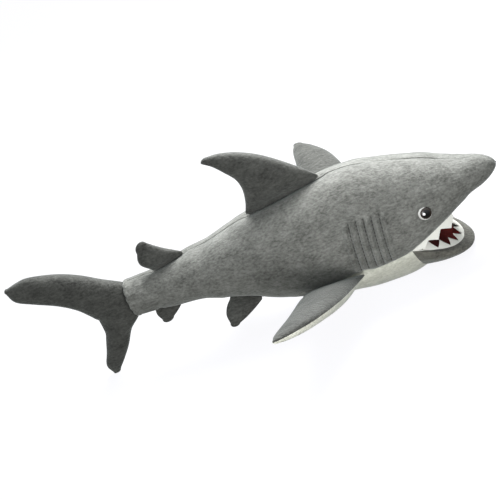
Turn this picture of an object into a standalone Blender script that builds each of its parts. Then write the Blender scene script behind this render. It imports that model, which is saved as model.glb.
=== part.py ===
"""A plush shark: sewn fabric panels over fibre filling, with safety eyes and felt teeth.

Metres, +Z up. The nose points along +X and the shark's left side is +Y.
It lies on its flat chest, so the chest and the tip of the tail fin are at Z = 0.
"""

import math

import bmesh
import bpy
from mathutils import Matrix, Vector

# Trunk: the sewn tube from the tail cuff to the nose
TRUNK_LENGTH = 0.4545
TRUNK_DEPTH = 0.1494
TRUNK_WIDTH = 0.112
NOSE_HEIGHT = 0.088
NOSE_ROUNDING = 0.026
NOSE_POWER = 2.4
NOSE_HOLE = 0.0005

# Fabric and the gaps between pieces
FABRIC = 0.0016
FIN_FABRIC = 0.0012
FELT = 0.0012
SEAM_GAP = 0.0008
FIN_SEAM_GAP = 0.0006
FILL_GAP = 0.0024
TOUCH_GAP = 0.0003

# Mouth
MOUTH_CORNER_AT = 0.7337
MOUTH_CORNER_SINE = 0.40
LIP_FRONT_AT = 0.903
LIP_RISE_POWER = 1.5
PALATE_ARCH = 0.004
PALATE_LIFT = 0.001
UPPER_TEETH_PER_SIDE = 3
UPPER_TOOTH_HEIGHT = 0.012
UPPER_TEETH_START = 0.010
UPPER_TEETH_END = 0.062
TOOTH_BAND = 0.0015

# Lower jaw
JAW_LENGTH = 0.0580
JAW_SIDE_BULGE = 0.0030
JAW_PLAN_POWER = 2.2
JAW_FRONT_LIP = 0.0088
JAW_FRONT_SQUARE = 0.35
JAW_HINGE_GAP = 0.0012
JAW_WEDGE = math.radians(8.0)
JAW_FLOOR_GAP = 0.0025
JAW_ROLL = 0.13
JAW_ROLL_START = math.radians(120.0)
LOWER_TEETH = 7
LOWER_TOOTH_HEIGHT = 0.019
LOWER_TOOTH_VALLEY = 0.007
LOWER_TEETH_RING = 0.760
LINING_RING = 0.715
ROLL_FILL_REACH = -0.3
LINING_DEPTH = 0.004

# Belly panel seam, as the angle below the widest point of the flank
SEAM_AT_THROAT = math.radians(-27.0)
SEAM_AT_BELLY = math.radians(-66.0)
SEAM_BEND_FRONT = 0.60
SEAM_BEND_REAR = 0.36

# Gill tucks
GILLS_PER_SIDE = 5
GILL_FIRST_AT = 0.622
GILL_PITCH = 0.0092
GILL_LEAN = 0.011
GILL_TOP_SINE = 0.42
GILL_BOTTOM_SINE = 0.37
GILL_THREAD = 0.0008

# Eyes: a domed button on a stem, held by a lock washer behind the fabric
EYE_AT = 0.8075
EYE_RISE_SINE = 0.10
EYE_RADIUS = 0.0080
EYE_DOME = 0.0045
EYE_STEM_RADIUS = 0.0016
EYE_STEM_LENGTH = 0.0090
WASHER_RADIUS = 0.0055
WASHER_THICKNESS = 0.0012
STEM_CLEARANCE = 0.0003

# Fins: base length along the body, and height from the body
FIN_GAP = 0.0022
PECTORAL_GAP = 0.0074
DORSAL_FRONT_AT = 0.582
DORSAL_BASE = 0.0990
DORSAL_HEIGHT = 0.0860
DORSAL_THICKNESS = 0.0110
SECOND_FRONT_AT = 0.174
SECOND_BASE = 0.0440
SECOND_HEIGHT = 0.0350
SECOND_THICKNESS = 0.0065
PECTORAL_FRONT_AT = 0.602
PECTORAL_BASE = 0.0790
PECTORAL_HEIGHT = 0.1680
PECTORAL_THICKNESS = 0.0120
PECTORAL_FRONT_ANGLE = math.radians(-27.5)
PECTORAL_REAR_ANGLE = math.radians(-42.0)
PECTORAL_LIFT = math.radians(17.0)
PELVIC_FRONT_AT = 0.321
PELVIC_BASE = 0.0360
PELVIC_HEIGHT = 0.0290
PELVIC_THICKNESS = 0.0055
PELVIC_ANGLE = math.radians(-50.0)
PELVIC_DROP = math.radians(-48.0)
ANAL_FRONT_AT = 0.108
ANAL_BASE = 0.0330
ANAL_HEIGHT = 0.0150
ANAL_THICKNESS = 0.0045

# Tail fin and the cuff that its neck goes into
CAUDAL_LENGTH = 0.1315
CAUDAL_RISE = 0.0700
CAUDAL_TIP_GAP = 0.0003
CAUDAL_THICKNESS = 0.0120
NECK_DEPTH = 0.0100
NECK_CLEARANCE = 0.0055
NECK_ROUNDING = 0.0030
CUFF_GAP = 0.0060
SOCKET_DEPTH = 0.0180

NOSE_X = (TRUNK_LENGTH + CAUDAL_LENGTH) / 2
CUFF_X = NOSE_X - TRUNK_LENGTH

# The trunk's profile from the cuff (0) to the nose (1): how far along, then the
# height of the back and of the underside and the half-width, as shares of its size.
TRUNK_PROFILE = (
    (0.000, 0.717, 0.415, 0.357),
    (0.067, 0.721, 0.401, 0.400),
    (0.105, 0.732, 0.388, 0.464),
    (0.175, 0.780, 0.375, 0.554),
    (0.230, 0.798, 0.325, 0.661),
    (0.285, 0.837, 0.266, 0.768),
    (0.371, 0.900, 0.147, 0.875),
    (0.476, 0.946, 0.045, 0.964),
    (0.582, 0.996, -0.020, 1.000),
    (0.652, 1.000, -0.030, 0.990),
    (0.700, 0.971, -0.025, 0.955),
    (0.734, 0.945, 0.000, 0.915),
    (0.778, 0.910, 0.055, 0.857),
    (0.831, 0.857, 0.218, 0.750),
    (0.903, 0.758, 0.424, 0.536),
    (0.954, 0.710, 0.499, 0.350),
    (1.000, 0.668, 0.540, 0.200),
)


def mix(low, high, share):
    return low + (high - low) * share


def smooth_step(low, high, value):
    share = min(max((value - low) / (high - low), 0.0), 1.0)
    return share * share * (3 - 2 * share)


def along_rows(rows, at):
    """Values of a table at a place along it, on a smooth curve through its rows."""
    last = len(rows) - 2
    index = 0
    while index < last and at > rows[index + 1][0]:
        index += 1
    before = rows[max(index - 1, 0)]
    first = rows[index]
    second = rows[index + 1]
    after = rows[min(index + 2, last + 1)]
    width = second[0] - first[0]
    share = (at - first[0]) / width
    values = []
    for column in range(1, len(first)):
        slope_first = (second[column] - before[column]) / (second[0] - before[0])
        slope_second = (after[column] - first[column]) / (after[0] - first[0])
        values.append(
            first[column] * (2 * share**3 - 3 * share**2 + 1)
            + second[column] * (3 * share**2 - 2 * share**3)
            + slope_first * width * (share**3 - 2 * share**2 + share)
            + slope_second * width * (share**3 - share**2)
        )
    return values


def x_at(share):
    return CUFF_X + share * TRUNK_LENGTH


def share_at(x):
    return (x - CUFF_X) / TRUNK_LENGTH


def section(x):
    """Back height, underside height and half-width of the trunk at one place."""
    back, under, half_width = along_rows(TRUNK_PROFILE, share_at(x))
    back *= TRUNK_DEPTH
    under *= TRUNK_DEPTH
    half_width *= TRUNK_WIDTH / 2
    into_nose = max((x - (NOSE_X - NOSE_ROUNDING)) / NOSE_ROUNDING, 0.0)
    cap = (1 - min(into_nose, 1.0) ** NOSE_POWER) ** (1 / NOSE_POWER)
    middle = mix((back + under) / 2, NOSE_HEIGHT, into_nose)
    half_depth = (back - under) / 2 * cap
    return middle + half_depth, middle - half_depth, half_width * cap


def trunk_point(x, angle, side=1, inset=0.0):
    """A point on the trunk's surface. Angle 0 is the widest point and 90 degrees the back."""
    back, under, half_width = section(x)
    middle = (back + under) / 2
    half_depth = max((back - under) / 2 - inset, 0.0002)
    across = max(half_width - inset, 0.0002) * math.cos(angle)
    height = middle + half_depth * math.sin(angle)
    return Vector((x, side * across, max(height, inset)))


def trunk_normal(x, angle, side):
    step = 0.001
    ahead = trunk_point(x + step, angle, side) - trunk_point(x - step, angle, side)
    up = trunk_point(x, angle + 0.02, side) - trunk_point(x, angle - 0.02, side)
    normal = ahead.cross(up) * -side
    return normal.normalized()


MOUTH_X = x_at(MOUTH_CORNER_AT)
LIP_FRONT_X = x_at(LIP_FRONT_AT)


def mouth_corner_height():
    back, under, _ = section(MOUTH_X)
    return (back + under) / 2 - MOUTH_CORNER_SINE * (back - under) / 2


HINGE_Z = mouth_corner_height()
LIP_FRONT_Z = section(LIP_FRONT_X)[1]


def lip_height(x):
    share = min(max((x - MOUTH_X) / (LIP_FRONT_X - MOUTH_X), 0.0), 1.0)
    return mix(HINGE_Z, LIP_FRONT_Z, 1 - (1 - share) ** LIP_RISE_POWER)


def lip_angle(x):
    back, under, _ = section(x)
    sine = ((back + under) / 2 - lip_height(x)) / ((back - under) / 2)
    return -math.asin(min(max(sine, 0.0), 1.0))


def lip_half_width(x):
    return section(x)[2] * math.cos(lip_angle(x))


def lower_edge_angle(x):
    """Where the grey side panel ends: the belly seam, the lip, then the seam under the snout."""
    if x >= LIP_FRONT_X:
        return -math.pi / 2
    if x >= MOUTH_X:
        return lip_angle(x)
    seam = mix(
        SEAM_AT_BELLY, SEAM_AT_THROAT, smooth_step(SEAM_BEND_REAR, SEAM_BEND_FRONT, share_at(x))
    )
    corner = -math.asin(MOUTH_CORNER_SINE)
    return mix(seam, corner, smooth_step(SEAM_BEND_FRONT, MOUTH_CORNER_AT, share_at(x)))


# Scene and materials


def clear_scene():
    for obj in list(bpy.data.objects):
        bpy.data.objects.remove(obj, do_unlink=True)


clear_scene()
SHARK = bpy.data.collections.new("plush_shark")
bpy.context.scene.collection.children.link(SHARK)
CUTTERS = bpy.data.collections.new("cutters")
bpy.context.scene.collection.children.link(CUTTERS)


def make_material(name, color, roughness, metallic=0.0):
    material = bpy.data.materials.new(name)
    material.use_nodes = True
    shader = material.node_tree.nodes["Principled BSDF"]
    shader.inputs["Base Color"].default_value = (*color, 1.0)
    shader.inputs["Roughness"].default_value = roughness
    shader.inputs["Metallic"].default_value = metallic
    return material


GREY_PLUSH = make_material("grey_plush", (0.190, 0.195, 0.182), 0.85)
CREAM_PLUSH = make_material("cream_plush", (0.560, 0.550, 0.455), 0.85)
WHITE_FELT = make_material("white_felt", (0.900, 0.900, 0.800), 0.80)
RED_FELT = make_material("red_felt", (0.230, 0.010, 0.006), 0.90)
FILLING = make_material("filling", (0.800, 0.800, 0.780), 1.00)
THREAD = make_material("dark_thread", (0.030, 0.030, 0.028), 0.80)
EYE_PLASTIC = make_material("eye_plastic", (0.010, 0.008, 0.007), 0.12)
WASHER_PLASTIC = make_material("washer_plastic", (0.750, 0.750, 0.730), 0.40)


def add_mesh(name, points, faces, material, pivot=None, closed=False):
    """An object with a closed or open mesh, its origin on the pivot it turns about."""
    mesh = bpy.data.meshes.new(name)
    mesh.from_pydata([tuple(point) for point in points], [], faces)
    shape = bmesh.new()
    shape.from_mesh(mesh)
    bmesh.ops.remove_doubles(shape, verts=shape.verts, dist=0.00001)
    if closed:
        bmesh.ops.recalc_face_normals(shape, faces=shape.faces)
        if shape.calc_volume(signed=True) < 0:
            bmesh.ops.reverse_faces(shape, faces=shape.faces)
    shape.to_mesh(mesh)
    shape.free()
    obj = bpy.data.objects.new(name, mesh)
    obj.data.materials.append(material)
    obj.data.shade_smooth()
    SHARK.objects.link(obj)
    if pivot is not None:
        mesh.transform(Matrix.Translation(-pivot))
        obj.location = pivot
    return obj


def grid_faces(rows, columns, around=False, flip=False):
    faces = []
    for row in range(rows - 1):
        for column in range(columns - (0 if around else 1)):
            beside = (column + 1) % columns
            face = (
                row * columns + column,
                row * columns + beside,
                (row + 1) * columns + beside,
                (row + 1) * columns + column,
            )
            faces.append(face[::-1] if flip else face)
    return faces


def add_sheet(name, rows, material, thickness, flip=False, pivot=None):
    """A fabric panel: an open surface given its thickness on the inside."""
    points = [point for row in rows for point in row]
    obj = add_mesh(name, points, grid_faces(len(rows), len(rows[0]), flip=flip), material, pivot)
    solid = obj.modifiers.new("Fabric", "SOLIDIFY")
    solid.thickness = thickness
    solid.offset = -1.0
    return obj


def add_loft(name, rings, material, pivot=None):
    """A closed solid through rings of the same number of points, with flat ends."""
    count = len(rings[0])
    points = [point for ring in rings for point in ring]
    faces = grid_faces(len(rings), count, around=True)
    faces.append(tuple(range(count)))
    faces.append(tuple((len(rings) - 1) * count + index for index in range(count)))
    return add_mesh(name, points, faces, material, pivot, closed=True)


# Trunk: two grey side panels that meet along the back, and a cream belly panel

TRUNK_RINGS_AT = (0.0, 0.06, 0.12, 0.19, 0.26, 0.33, 0.41, 0.49, 0.57, 0.64, 0.69)
HEAD_RINGS_AT = (0.765, 0.80, 0.835, 0.865, 0.885, 0.897)
SNOUT_RINGS_AT = (0.912, 0.93, 0.95, 0.965, 0.977, 0.987, 0.994)
SIDE_STEPS = 10
BELLY_STEPS = 8


def add_side_panel(name, side):
    places = [x_at(share) for share in TRUNK_RINGS_AT]
    places += [MOUTH_X - TOUCH_GAP, MOUTH_X]
    places += [x_at(share) for share in HEAD_RINGS_AT]
    places += [LIP_FRONT_X]
    places += [x_at(share) for share in SNOUT_RINGS_AT]
    places += [NOSE_X - NOSE_HOLE]
    rows = []
    for x in places:
        low = lower_edge_angle(x)
        row = []
        for step in range(SIDE_STEPS + 1):
            angle = mix(math.pi / 2, low, step / SIDE_STEPS)
            point = trunk_point(x, angle, side)
            point.y = side * max(abs(point.y), SEAM_GAP / 2)
            row.append(point)
        rows.append(row)
    return add_sheet(name, rows, GREY_PLUSH, FABRIC, flip=side > 0)


def add_belly_panel():
    places = [x_at(share) for share in TRUNK_RINGS_AT] + [MOUTH_X]
    rows = []
    for x in places:
        half_width = section(x)[2]
        low = lower_edge_angle(x) - SEAM_GAP / max(half_width, 0.001)
        row = []
        for step in range(BELLY_STEPS + 1):
            angle = mix(low, -math.pi - low, step / BELLY_STEPS)
            row.append(trunk_point(x, angle, -1))
        rows.append(row)
    return add_sheet("belly_panel", rows, CREAM_PLUSH, FABRIC)


FILL_INSET = FABRIC + FILL_GAP
FILL_STEPS = 20


def palate_clear_height(x):
    """The lowest that the filling of the head reaches above the mouth."""
    return lip_height(x) + PALATE_LIFT + PALATE_ARCH + FELT + 2 * TOUCH_GAP


def fill_ring(x, head):
    ring = []
    for step in range(FILL_STEPS):
        angle = 2 * math.pi * step / FILL_STEPS
        point = trunk_point(x, angle, 1, FILL_INSET)
        if head:
            point.z = max(point.z, palate_clear_height(x))
        ring.append(point)
    return ring


def add_trunk_filling():
    start = share_at(CUFF_X + SOCKET_DEPTH)
    shares = [start] + [share for share in TRUNK_RINGS_AT if share > start + 0.02]
    rings = [fill_ring(x_at(share), False) for share in shares]
    rings.append(fill_ring(MOUTH_X - FILL_INSET, False))
    rings.append(fill_ring(MOUTH_X - FILL_INSET + FELT, True))
    rings += [fill_ring(x_at(share), True) for share in HEAD_RINGS_AT]
    rings += [fill_ring(x_at(share), True) for share in SNOUT_RINGS_AT[:5]]
    return add_loft("trunk_filling", rings, FILLING)


side_panel_right = add_side_panel("side_panel_right", -1)
side_panel_left = add_side_panel("side_panel_left", 1)
add_belly_panel()
trunk_filling = add_trunk_filling()


# Mouth roof: a red felt lining and a strip of felt teeth behind each lip

TEETH_INSET = FABRIC + 2 * TOUCH_GAP
LINING_INSET = TEETH_INSET + FELT + 2 * TOUCH_GAP
PALATE_ROWS = 8
PALATE_COLUMNS = 6


def add_palate_lining():
    first = MOUTH_X + FELT
    last = LIP_FRONT_X - PALATE_ARCH
    rows = []
    for row in range(PALATE_ROWS + 1):
        x = mix(first, last, math.sin(math.pi / 2 * row / PALATE_ROWS))
        reach = max(lip_half_width(x) - LINING_INSET, 0.003)
        points = []
        for column in range(PALATE_COLUMNS + 1):
            across = mix(-1.0, 1.0, column / PALATE_COLUMNS)
            arch = PALATE_LIFT + PALATE_ARCH * (1 - across * across)
            points.append(Vector((x, across * reach, lip_height(x) + arch)))
        rows.append(points)
    return add_sheet("palate_lining", rows, RED_FELT, FELT)


def add_tooth_strip(name, bases, tips, inward, material, pivot=None):
    """A zigzag strip of felt. Bases and tips are the outer face, inward is the way to its back."""
    rings = []
    for base, tip, back in zip(bases, tips, inward):
        step = back * FELT
        rings.append([base, tip, tip + step, base + step])
    return add_loft(name, rings, material, pivot=pivot)


def unit_inward(points, index):
    before = points[max(index - 1, 0)]
    after = points[min(index + 1, len(points) - 1)]
    along = (after - before).normalized()
    return Vector((-along.y, along.x, 0.0)).normalized()


def add_upper_teeth(name, side):
    count = 2 * UPPER_TEETH_PER_SIDE
    bases = []
    for index in range(count + 1):
        x = MOUTH_X + mix(UPPER_TEETH_START, UPPER_TEETH_END, index / count)
        across = lip_half_width(x) - TEETH_INSET
        bases.append(Vector((x, side * across, lip_height(x) + PALATE_LIFT)))
    tips = []
    for index, base in enumerate(bases):
        drop = UPPER_TOOTH_HEIGHT if index % 2 else TOOTH_BAND
        tips.append(base - Vector((0.0, 0.0, drop + PALATE_LIFT)))
    inward = [unit_inward(bases, index) * -side for index in range(count + 1)]
    add_tooth_strip(name, bases, tips, inward, WHITE_FELT)


add_palate_lining()
add_upper_teeth("upper_teeth_right", -1)
add_upper_teeth("upper_teeth_left", 1)


# Lower jaw: a padded grey scoop that hinges at the corners of the mouth

JAW_PIVOT = Vector((MOUTH_X, 0.0, HINGE_Z))
JAW_HALF_WIDTH = section(MOUTH_X)[2] * math.cos(lip_angle(MOUTH_X)) + JAW_SIDE_BULGE
JAW_TURNS = 14
JAW_PROFILE_STEPS = 7


def jaw_plan(turn):
    """Forward and sideways reach of the jaw's outer edge, from -90 to 90 degrees."""
    power = 2 / JAW_PLAN_POWER
    forward = JAW_LENGTH * abs(math.cos(turn)) ** power
    across = JAW_HALF_WIDTH * math.copysign(abs(math.sin(turn)) ** power, turn)
    return forward, across


def throat_share(height):
    """Half-width of the round throat at a height, as a share of its widest."""
    back, under, _ = section(MOUTH_X)
    sine = min(max((back + under - 2 * height) / (back - under), 0.0), 1.0)
    return math.sqrt(1 - sine * sine)


def jaw_point(turn, ring, height_share, drop=0.0, wall=0.0):
    """A point of the jaw: ring 1 is its outer edge, height_share 1 the lip and 0 the underside."""
    forward, across = jaw_plan(turn)
    forward *= ring
    dip = (HINGE_Z - JAW_HINGE_GAP - JAW_FRONT_LIP) * forward / JAW_LENGTH
    lip = HINGE_Z - JAW_HINGE_GAP - dip
    height = mix(JAW_FLOOR_GAP + wall, lip - drop, height_share)
    narrow = min(throat_share(height - wall) / throat_share(lip), 1.0)
    across *= ring * mix(narrow, 1.0, JAW_FRONT_SQUARE * forward / JAW_LENGTH)
    rear = JAW_HINGE_GAP + (HINGE_Z - height) * math.tan(JAW_WEDGE)
    taper = 1 - rear / JAW_LENGTH * (forward / JAW_LENGTH)
    return Vector((MOUTH_X + rear + forward * taper, across, height))


def roll_ring(turn, wall, reach):
    """A ring in the padded lip: reach 1 is its outer side and -1 its inner side."""
    return 1 - JAW_ROLL + (JAW_ROLL - wall / math.hypot(*jaw_plan(turn))) * reach


def jaw_turns():
    return [mix(-math.pi / 2, math.pi / 2, index / JAW_TURNS) for index in range(JAW_TURNS + 1)]


def jaw_outside(turn, wall, start):
    points = []
    for step in range(JAW_PROFILE_STEPS + 1):
        angle = mix(start, -math.pi / 2, step / JAW_PROFILE_STEPS)
        ring = roll_ring(turn, wall, math.cos(angle))
        share = 0.5 + 0.5 * math.sin(angle)
        points.append(jaw_point(turn, ring, share, wall, wall))
    points.append(jaw_point(turn, 0.0, 0.0, wall=wall))
    return points


def add_jaw_panel():
    rows = [jaw_outside(turn, 0.0, JAW_ROLL_START) for turn in jaw_turns()]
    return add_sheet("jaw_panel", rows, GREY_PLUSH, FABRIC, pivot=JAW_PIVOT)


def add_jaw_filling():
    wall = FILL_INSET + 2 * TOUCH_GAP
    rear_shift = Vector((TOUCH_GAP, 0.0, 0.0))
    under_lining = LINING_DEPTH + FELT + 4 * TOUCH_GAP
    rings = []
    for turn in jaw_turns():
        outside = jaw_outside(turn, wall, math.pi / 2)[:-1]
        inner = jaw_point(turn, roll_ring(turn, wall, ROLL_FILL_REACH), 1.0, under_lining, wall)
        bottom = jaw_point(turn, 0.0, 0.0, wall=wall)
        top = jaw_point(turn, 0.0, 1.0, under_lining, wall)
        rings.append([point + rear_shift for point in [inner] + outside + [bottom, top]])
    return add_loft("jaw_filling", rings, FILLING, JAW_PIVOT)


def add_jaw_lining():
    rows = []
    for turn in jaw_turns():
        row = []
        for ring in (0.0, 0.35, LINING_RING):
            row.append(jaw_point(turn, ring, 1.0, LINING_DEPTH))
        rows.append(row)
    return add_sheet("jaw_lining", rows, RED_FELT, FELT, pivot=JAW_PIVOT)


def add_lower_teeth():
    count = 2 * LOWER_TEETH
    bases = []
    tips = []
    for index in range(count + 1):
        turn = mix(-1.0, 1.0, index / count) * math.radians(80.0)
        base = jaw_point(turn, LOWER_TEETH_RING, 1.0, LINING_DEPTH)
        rise = LOWER_TOOTH_HEIGHT if index % 2 else LOWER_TOOTH_VALLEY
        near_corner = smooth_step(0.0, 0.020, base.x - MOUTH_X)
        bases.append(base)
        tips.append(base + Vector((0.0, 0.0, mix(0.4, 1.0, near_corner) * rise)))
    inward = [unit_inward(bases, index) for index in range(count + 1)]
    return add_tooth_strip("lower_teeth", bases, tips, inward, WHITE_FELT, JAW_PIVOT)


add_jaw_panel()
add_jaw_filling()
add_jaw_lining()
add_lower_teeth()


# Eyes

EYE_SIDES = 16
EYE_SEAT = 0.0006
WASHER_TOP = -FABRIC - 5 * TOUCH_GAP


def add_turned(name, profile, place, direction, material, collection=SHARK):
    """A profile of (radius, height) turned about its own Z, set at a place along a direction."""
    mesh = bpy.data.meshes.new(name)
    points = [(radius, 0.0, height) for radius, height in profile]
    mesh.from_pydata(points, [(index, index + 1) for index in range(len(points) - 1)], [])
    obj = bpy.data.objects.new(name, mesh)
    mesh.materials.append(material)
    collection.objects.link(obj)
    obj.matrix_world = Matrix.Translation(place) @ direction.to_track_quat("Z", "Y").to_matrix().to_4x4()
    screw = obj.modifiers.new("Turn", "SCREW")
    screw.angle = math.tau
    screw.steps = EYE_SIDES
    screw.render_steps = EYE_SIDES
    screw.use_merge_vertices = True
    screw.merge_threshold = 0.00001
    return obj


def dome_profile():
    profile = [(0.0, EYE_SEAT + EYE_DOME)]
    for step in range(1, 6):
        angle = math.pi / 2 * step / 5
        profile.append((EYE_RADIUS * math.sin(angle), EYE_SEAT + EYE_DOME * math.cos(angle)))
    profile.append((EYE_STEM_RADIUS, EYE_SEAT))
    profile.append((EYE_STEM_RADIUS, EYE_SEAT - EYE_STEM_LENGTH))
    profile.append((0.0, EYE_SEAT - EYE_STEM_LENGTH))
    return profile


def ring_profile(inner, outer, top, bottom):
    return [(inner, top), (outer, top), (outer, bottom), (inner, bottom), (inner, top)]


def rod_profile(radius, top, bottom):
    return [(0.0, top), (radius, top), (radius, bottom), (0.0, bottom)]


def cut(obj, cutter, name):
    modifier = obj.modifiers.new(name, "BOOLEAN")
    modifier.operation = "DIFFERENCE"
    modifier.solver = "EXACT"
    modifier.object = cutter


def add_eye(tag, side, panel):
    angle = math.asin(EYE_RISE_SINE)
    place = trunk_point(x_at(EYE_AT), angle, side)
    direction = trunk_normal(x_at(EYE_AT), angle, side)
    add_turned(f"eye_{tag}", dome_profile(), place, direction, EYE_PLASTIC)
    hole = EYE_STEM_RADIUS + STEM_CLEARANCE
    washer = ring_profile(hole, WASHER_RADIUS, WASHER_TOP, WASHER_TOP - WASHER_THICKNESS)
    add_turned(f"eye_washer_{tag}", washer, place, direction, WASHER_PLASTIC)
    drill_depth = EYE_SEAT - EYE_STEM_LENGTH - 2 * TOUCH_GAP
    drill = add_turned(
        f"eye_drill_{tag}", rod_profile(hole, EYE_DOME, drill_depth), place, direction, FILLING, CUTTERS
    )
    pocket_floor = WASHER_TOP - WASHER_THICKNESS - 2 * TOUCH_GAP
    pocket = add_turned(
        f"washer_pocket_{tag}",
        rod_profile(WASHER_RADIUS + 2 * TOUCH_GAP, EYE_DOME, pocket_floor),
        place,
        direction,
        FILLING,
        CUTTERS,
    )
    for cutter in (drill, pocket):
        cutter.hide_render = True
        cutter.display_type = "WIRE"
    cut(panel, drill, "Eye hole")
    cut(trunk_filling, pocket, f"Washer pocket {tag}")
    cut(trunk_filling, drill, f"Eye hole {tag}")


add_eye("right", -1, side_panel_right)
add_eye("left", 1, side_panel_left)


# Gill tucks: dark thread lines on each flank


def add_gill(name, place_share, side):
    curve = bpy.data.curves.new(name, "CURVE")
    curve.dimensions = "3D"
    curve.bevel_depth = GILL_THREAD
    curve.bevel_resolution = 0
    curve.use_fill_caps = True
    count = 7
    spline = curve.splines.new("POLY")
    spline.points.add(count - 1)
    for index in range(count):
        share = index / (count - 1)
        angle = math.asin(mix(GILL_TOP_SINE, -GILL_BOTTOM_SINE, share))
        x = x_at(place_share) - GILL_LEAN * share
        lift = trunk_normal(x, angle, side) * (GILL_THREAD + 2 * TOUCH_GAP)
        spline.points[index].co = (*(trunk_point(x, angle, side) + lift), 1.0)
    curve.materials.append(THREAD)
    obj = bpy.data.objects.new(name, curve)
    SHARK.objects.link(obj)


for tag, side in (("right", -1), ("left", 1)):
    for number in range(GILLS_PER_SIDE):
        place = GILL_FIRST_AT + number * GILL_PITCH / TRUNK_LENGTH
        add_gill(f"gill_tuck_{tag}_{number + 1}", place, side)


# Fins: two panels sewn round their edge over a flat pad of filling.
# A row gives the leading and the trailing edge as (back, up), in shares of the
# base and the height, and then the share of the full thickness.

DORSAL_ROWS = (
    (0.000, 0.000, 1.000, 0.000, 0.30),
    (0.100, 0.175, 0.915, 0.148, 0.90),
    (0.255, 0.420, 0.845, 0.336, 1.00),
    (0.430, 0.655, 0.835, 0.514, 0.90),
    (0.618, 0.832, 0.900, 0.693, 0.75),
    (0.809, 0.945, 0.965, 0.836, 0.55),
    (0.965, 0.990, 1.040, 0.930, 0.30),
)
SECOND_ROWS = (
    (0.000, 0.000, 1.000, 0.000, 0.40),
    (0.170, 0.200, 1.080, 0.150, 0.90),
    (0.330, 0.400, 1.150, 0.330, 1.00),
    (0.480, 0.640, 1.130, 0.520, 0.85),
    (0.620, 0.900, 1.020, 0.740, 0.55),
)
PECTORAL_ROWS = (
    (0.000, 0.000, 1.000, 0.000, 0.20),
    (0.000, 0.120, 0.950, 0.120, 0.55),
    (0.005, 0.280, 0.890, 0.300, 1.00),
    (0.030, 0.460, 0.830, 0.500, 1.00),
    (0.110, 0.630, 0.790, 0.690, 0.85),
    (0.240, 0.790, 0.775, 0.840, 0.70),
    (0.420, 0.910, 0.760, 0.940, 0.50),
    (0.570, 0.975, 0.720, 0.985, 0.28),
)
PELVIC_ROWS = (
    (0.000, 0.000, 1.000, 0.000, 0.45),
    (0.180, 0.300, 1.080, 0.300, 0.90),
    (0.420, 0.650, 1.080, 0.650, 1.00),
    (0.650, 0.930, 0.950, 0.970, 0.50),
)
ANAL_ROWS = (
    (0.000, 0.000, 1.000, 0.000, 0.55),
    (0.200, 0.450, 1.000, 0.450, 1.00),
    (0.450, 0.920, 0.900, 0.980, 0.60),
)
FIN_POWER = 2.3
FIN_EDGE = 0.0016
FIN_COLUMNS = 8
BULGE_STEPS = 8
OVERHANG = 1.15


class FinFrame:
    """Where a fin stands: its base front, the way back, the way up and its face direction."""

    def __init__(self, front, back, up, base, height, thickness):
        self.front = front
        self.back = back.normalized()
        self.up = (up - up.dot(self.back) * self.back).normalized()
        self.face = self.back.cross(self.up)
        self.base = base
        self.height = height
        self.thickness = thickness

    def point(self, back, up, out):
        return (
            self.front
            + self.back * (back * self.base)
            + self.up * (up * self.height)
            + self.face * out
        )

    def pivot(self):
        return self.front + self.back * (self.base / 2)


def chord_shares(columns):
    return [0.5 - 0.5 * math.cos(math.pi * index / columns) for index in range(columns + 1)]


def lens(share):
    return (1 - abs(2 * share - 1) ** FIN_POWER) ** (1 / FIN_POWER)


def fin_panel_rows(frame, rows, face, open_start):
    """Surface rows of one fin panel, with a turned-in edge at the seam."""
    panel = []
    columns = chord_shares(FIN_COLUMNS)
    for row in rows:
        half = row[4] * frame.thickness
        line = []
        for share in columns:
            out = FIN_EDGE + max(half - FIN_EDGE, 0.0) * lens(share)
            back = mix(row[0], row[2], share)
            up = mix(row[1], row[3], share)
            line.append(frame.point(back, up, face * out))
        lead = frame.point(row[0], row[1], face * FIN_SEAM_GAP / 2)
        trail = frame.point(row[2], row[3], face * FIN_SEAM_GAP / 2)
        panel.append([lead] + line + [trail])

    def closing(row):
        line = []
        for share in columns:
            back = mix(row[0], row[2], share)
            up = mix(row[1], row[3], share)
            line.append(frame.point(back, up, face * FIN_SEAM_GAP / 2))
        return [line[0]] + line + [line[-1]]

    panel.append(closing(rows[-1]))
    if not open_start:
        panel.insert(0, closing(rows[0]))
    return panel


def add_fin_filling(name, frame, rows, pivot, open_start):
    inset = FIN_FABRIC + 2 * TOUCH_GAP
    rings = []
    chosen = [row for row in (rows[:-1] if open_start else rows[1:-1]) if row[0] >= 0]
    for number, row in enumerate(chosen):
        lead_back = row[0] * frame.base
        trail_back = row[2] * frame.base
        lead_up = row[1] * frame.height
        trail_up = row[3] * frame.height
        chord = math.hypot(trail_back - lead_back, trail_up - lead_up)
        margin = (inset + FIN_EDGE) / chord
        half = max(row[4] * frame.thickness - inset - TOUCH_GAP, 0.0006)
        start_step = 0.0015 if open_start and number == 0 else 0.0
        ring = []
        for direction in (1, -1):
            shares = chord_shares(4)
            if direction < 0:
                shares = shares[::-1]
            for share in shares[:-1]:
                place = mix(margin, 1 - margin, share)
                out = direction * half * lens(share)
                back = mix(row[0], row[2], place)
                up = mix(row[1], row[3], place) + start_step / frame.height
                ring.append(frame.point(back, up, out))
        rings.append(ring)
    return add_loft(name, rings, FILLING, pivot=pivot)


def add_fin(name, frame, rows, sides, materials, open_start=True, pivot=None):
    pivot = frame.pivot() if pivot is None else pivot
    for face, side, material in zip((1, -1), sides, materials):
        panel = fin_panel_rows(frame, rows, face, open_start)
        add_sheet(f"{name}_panel_{side}", panel, material, FIN_FABRIC, flip=face > 0, pivot=pivot)
    add_fin_filling(f"{name}_filling", frame, rows, pivot, open_start)


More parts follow.
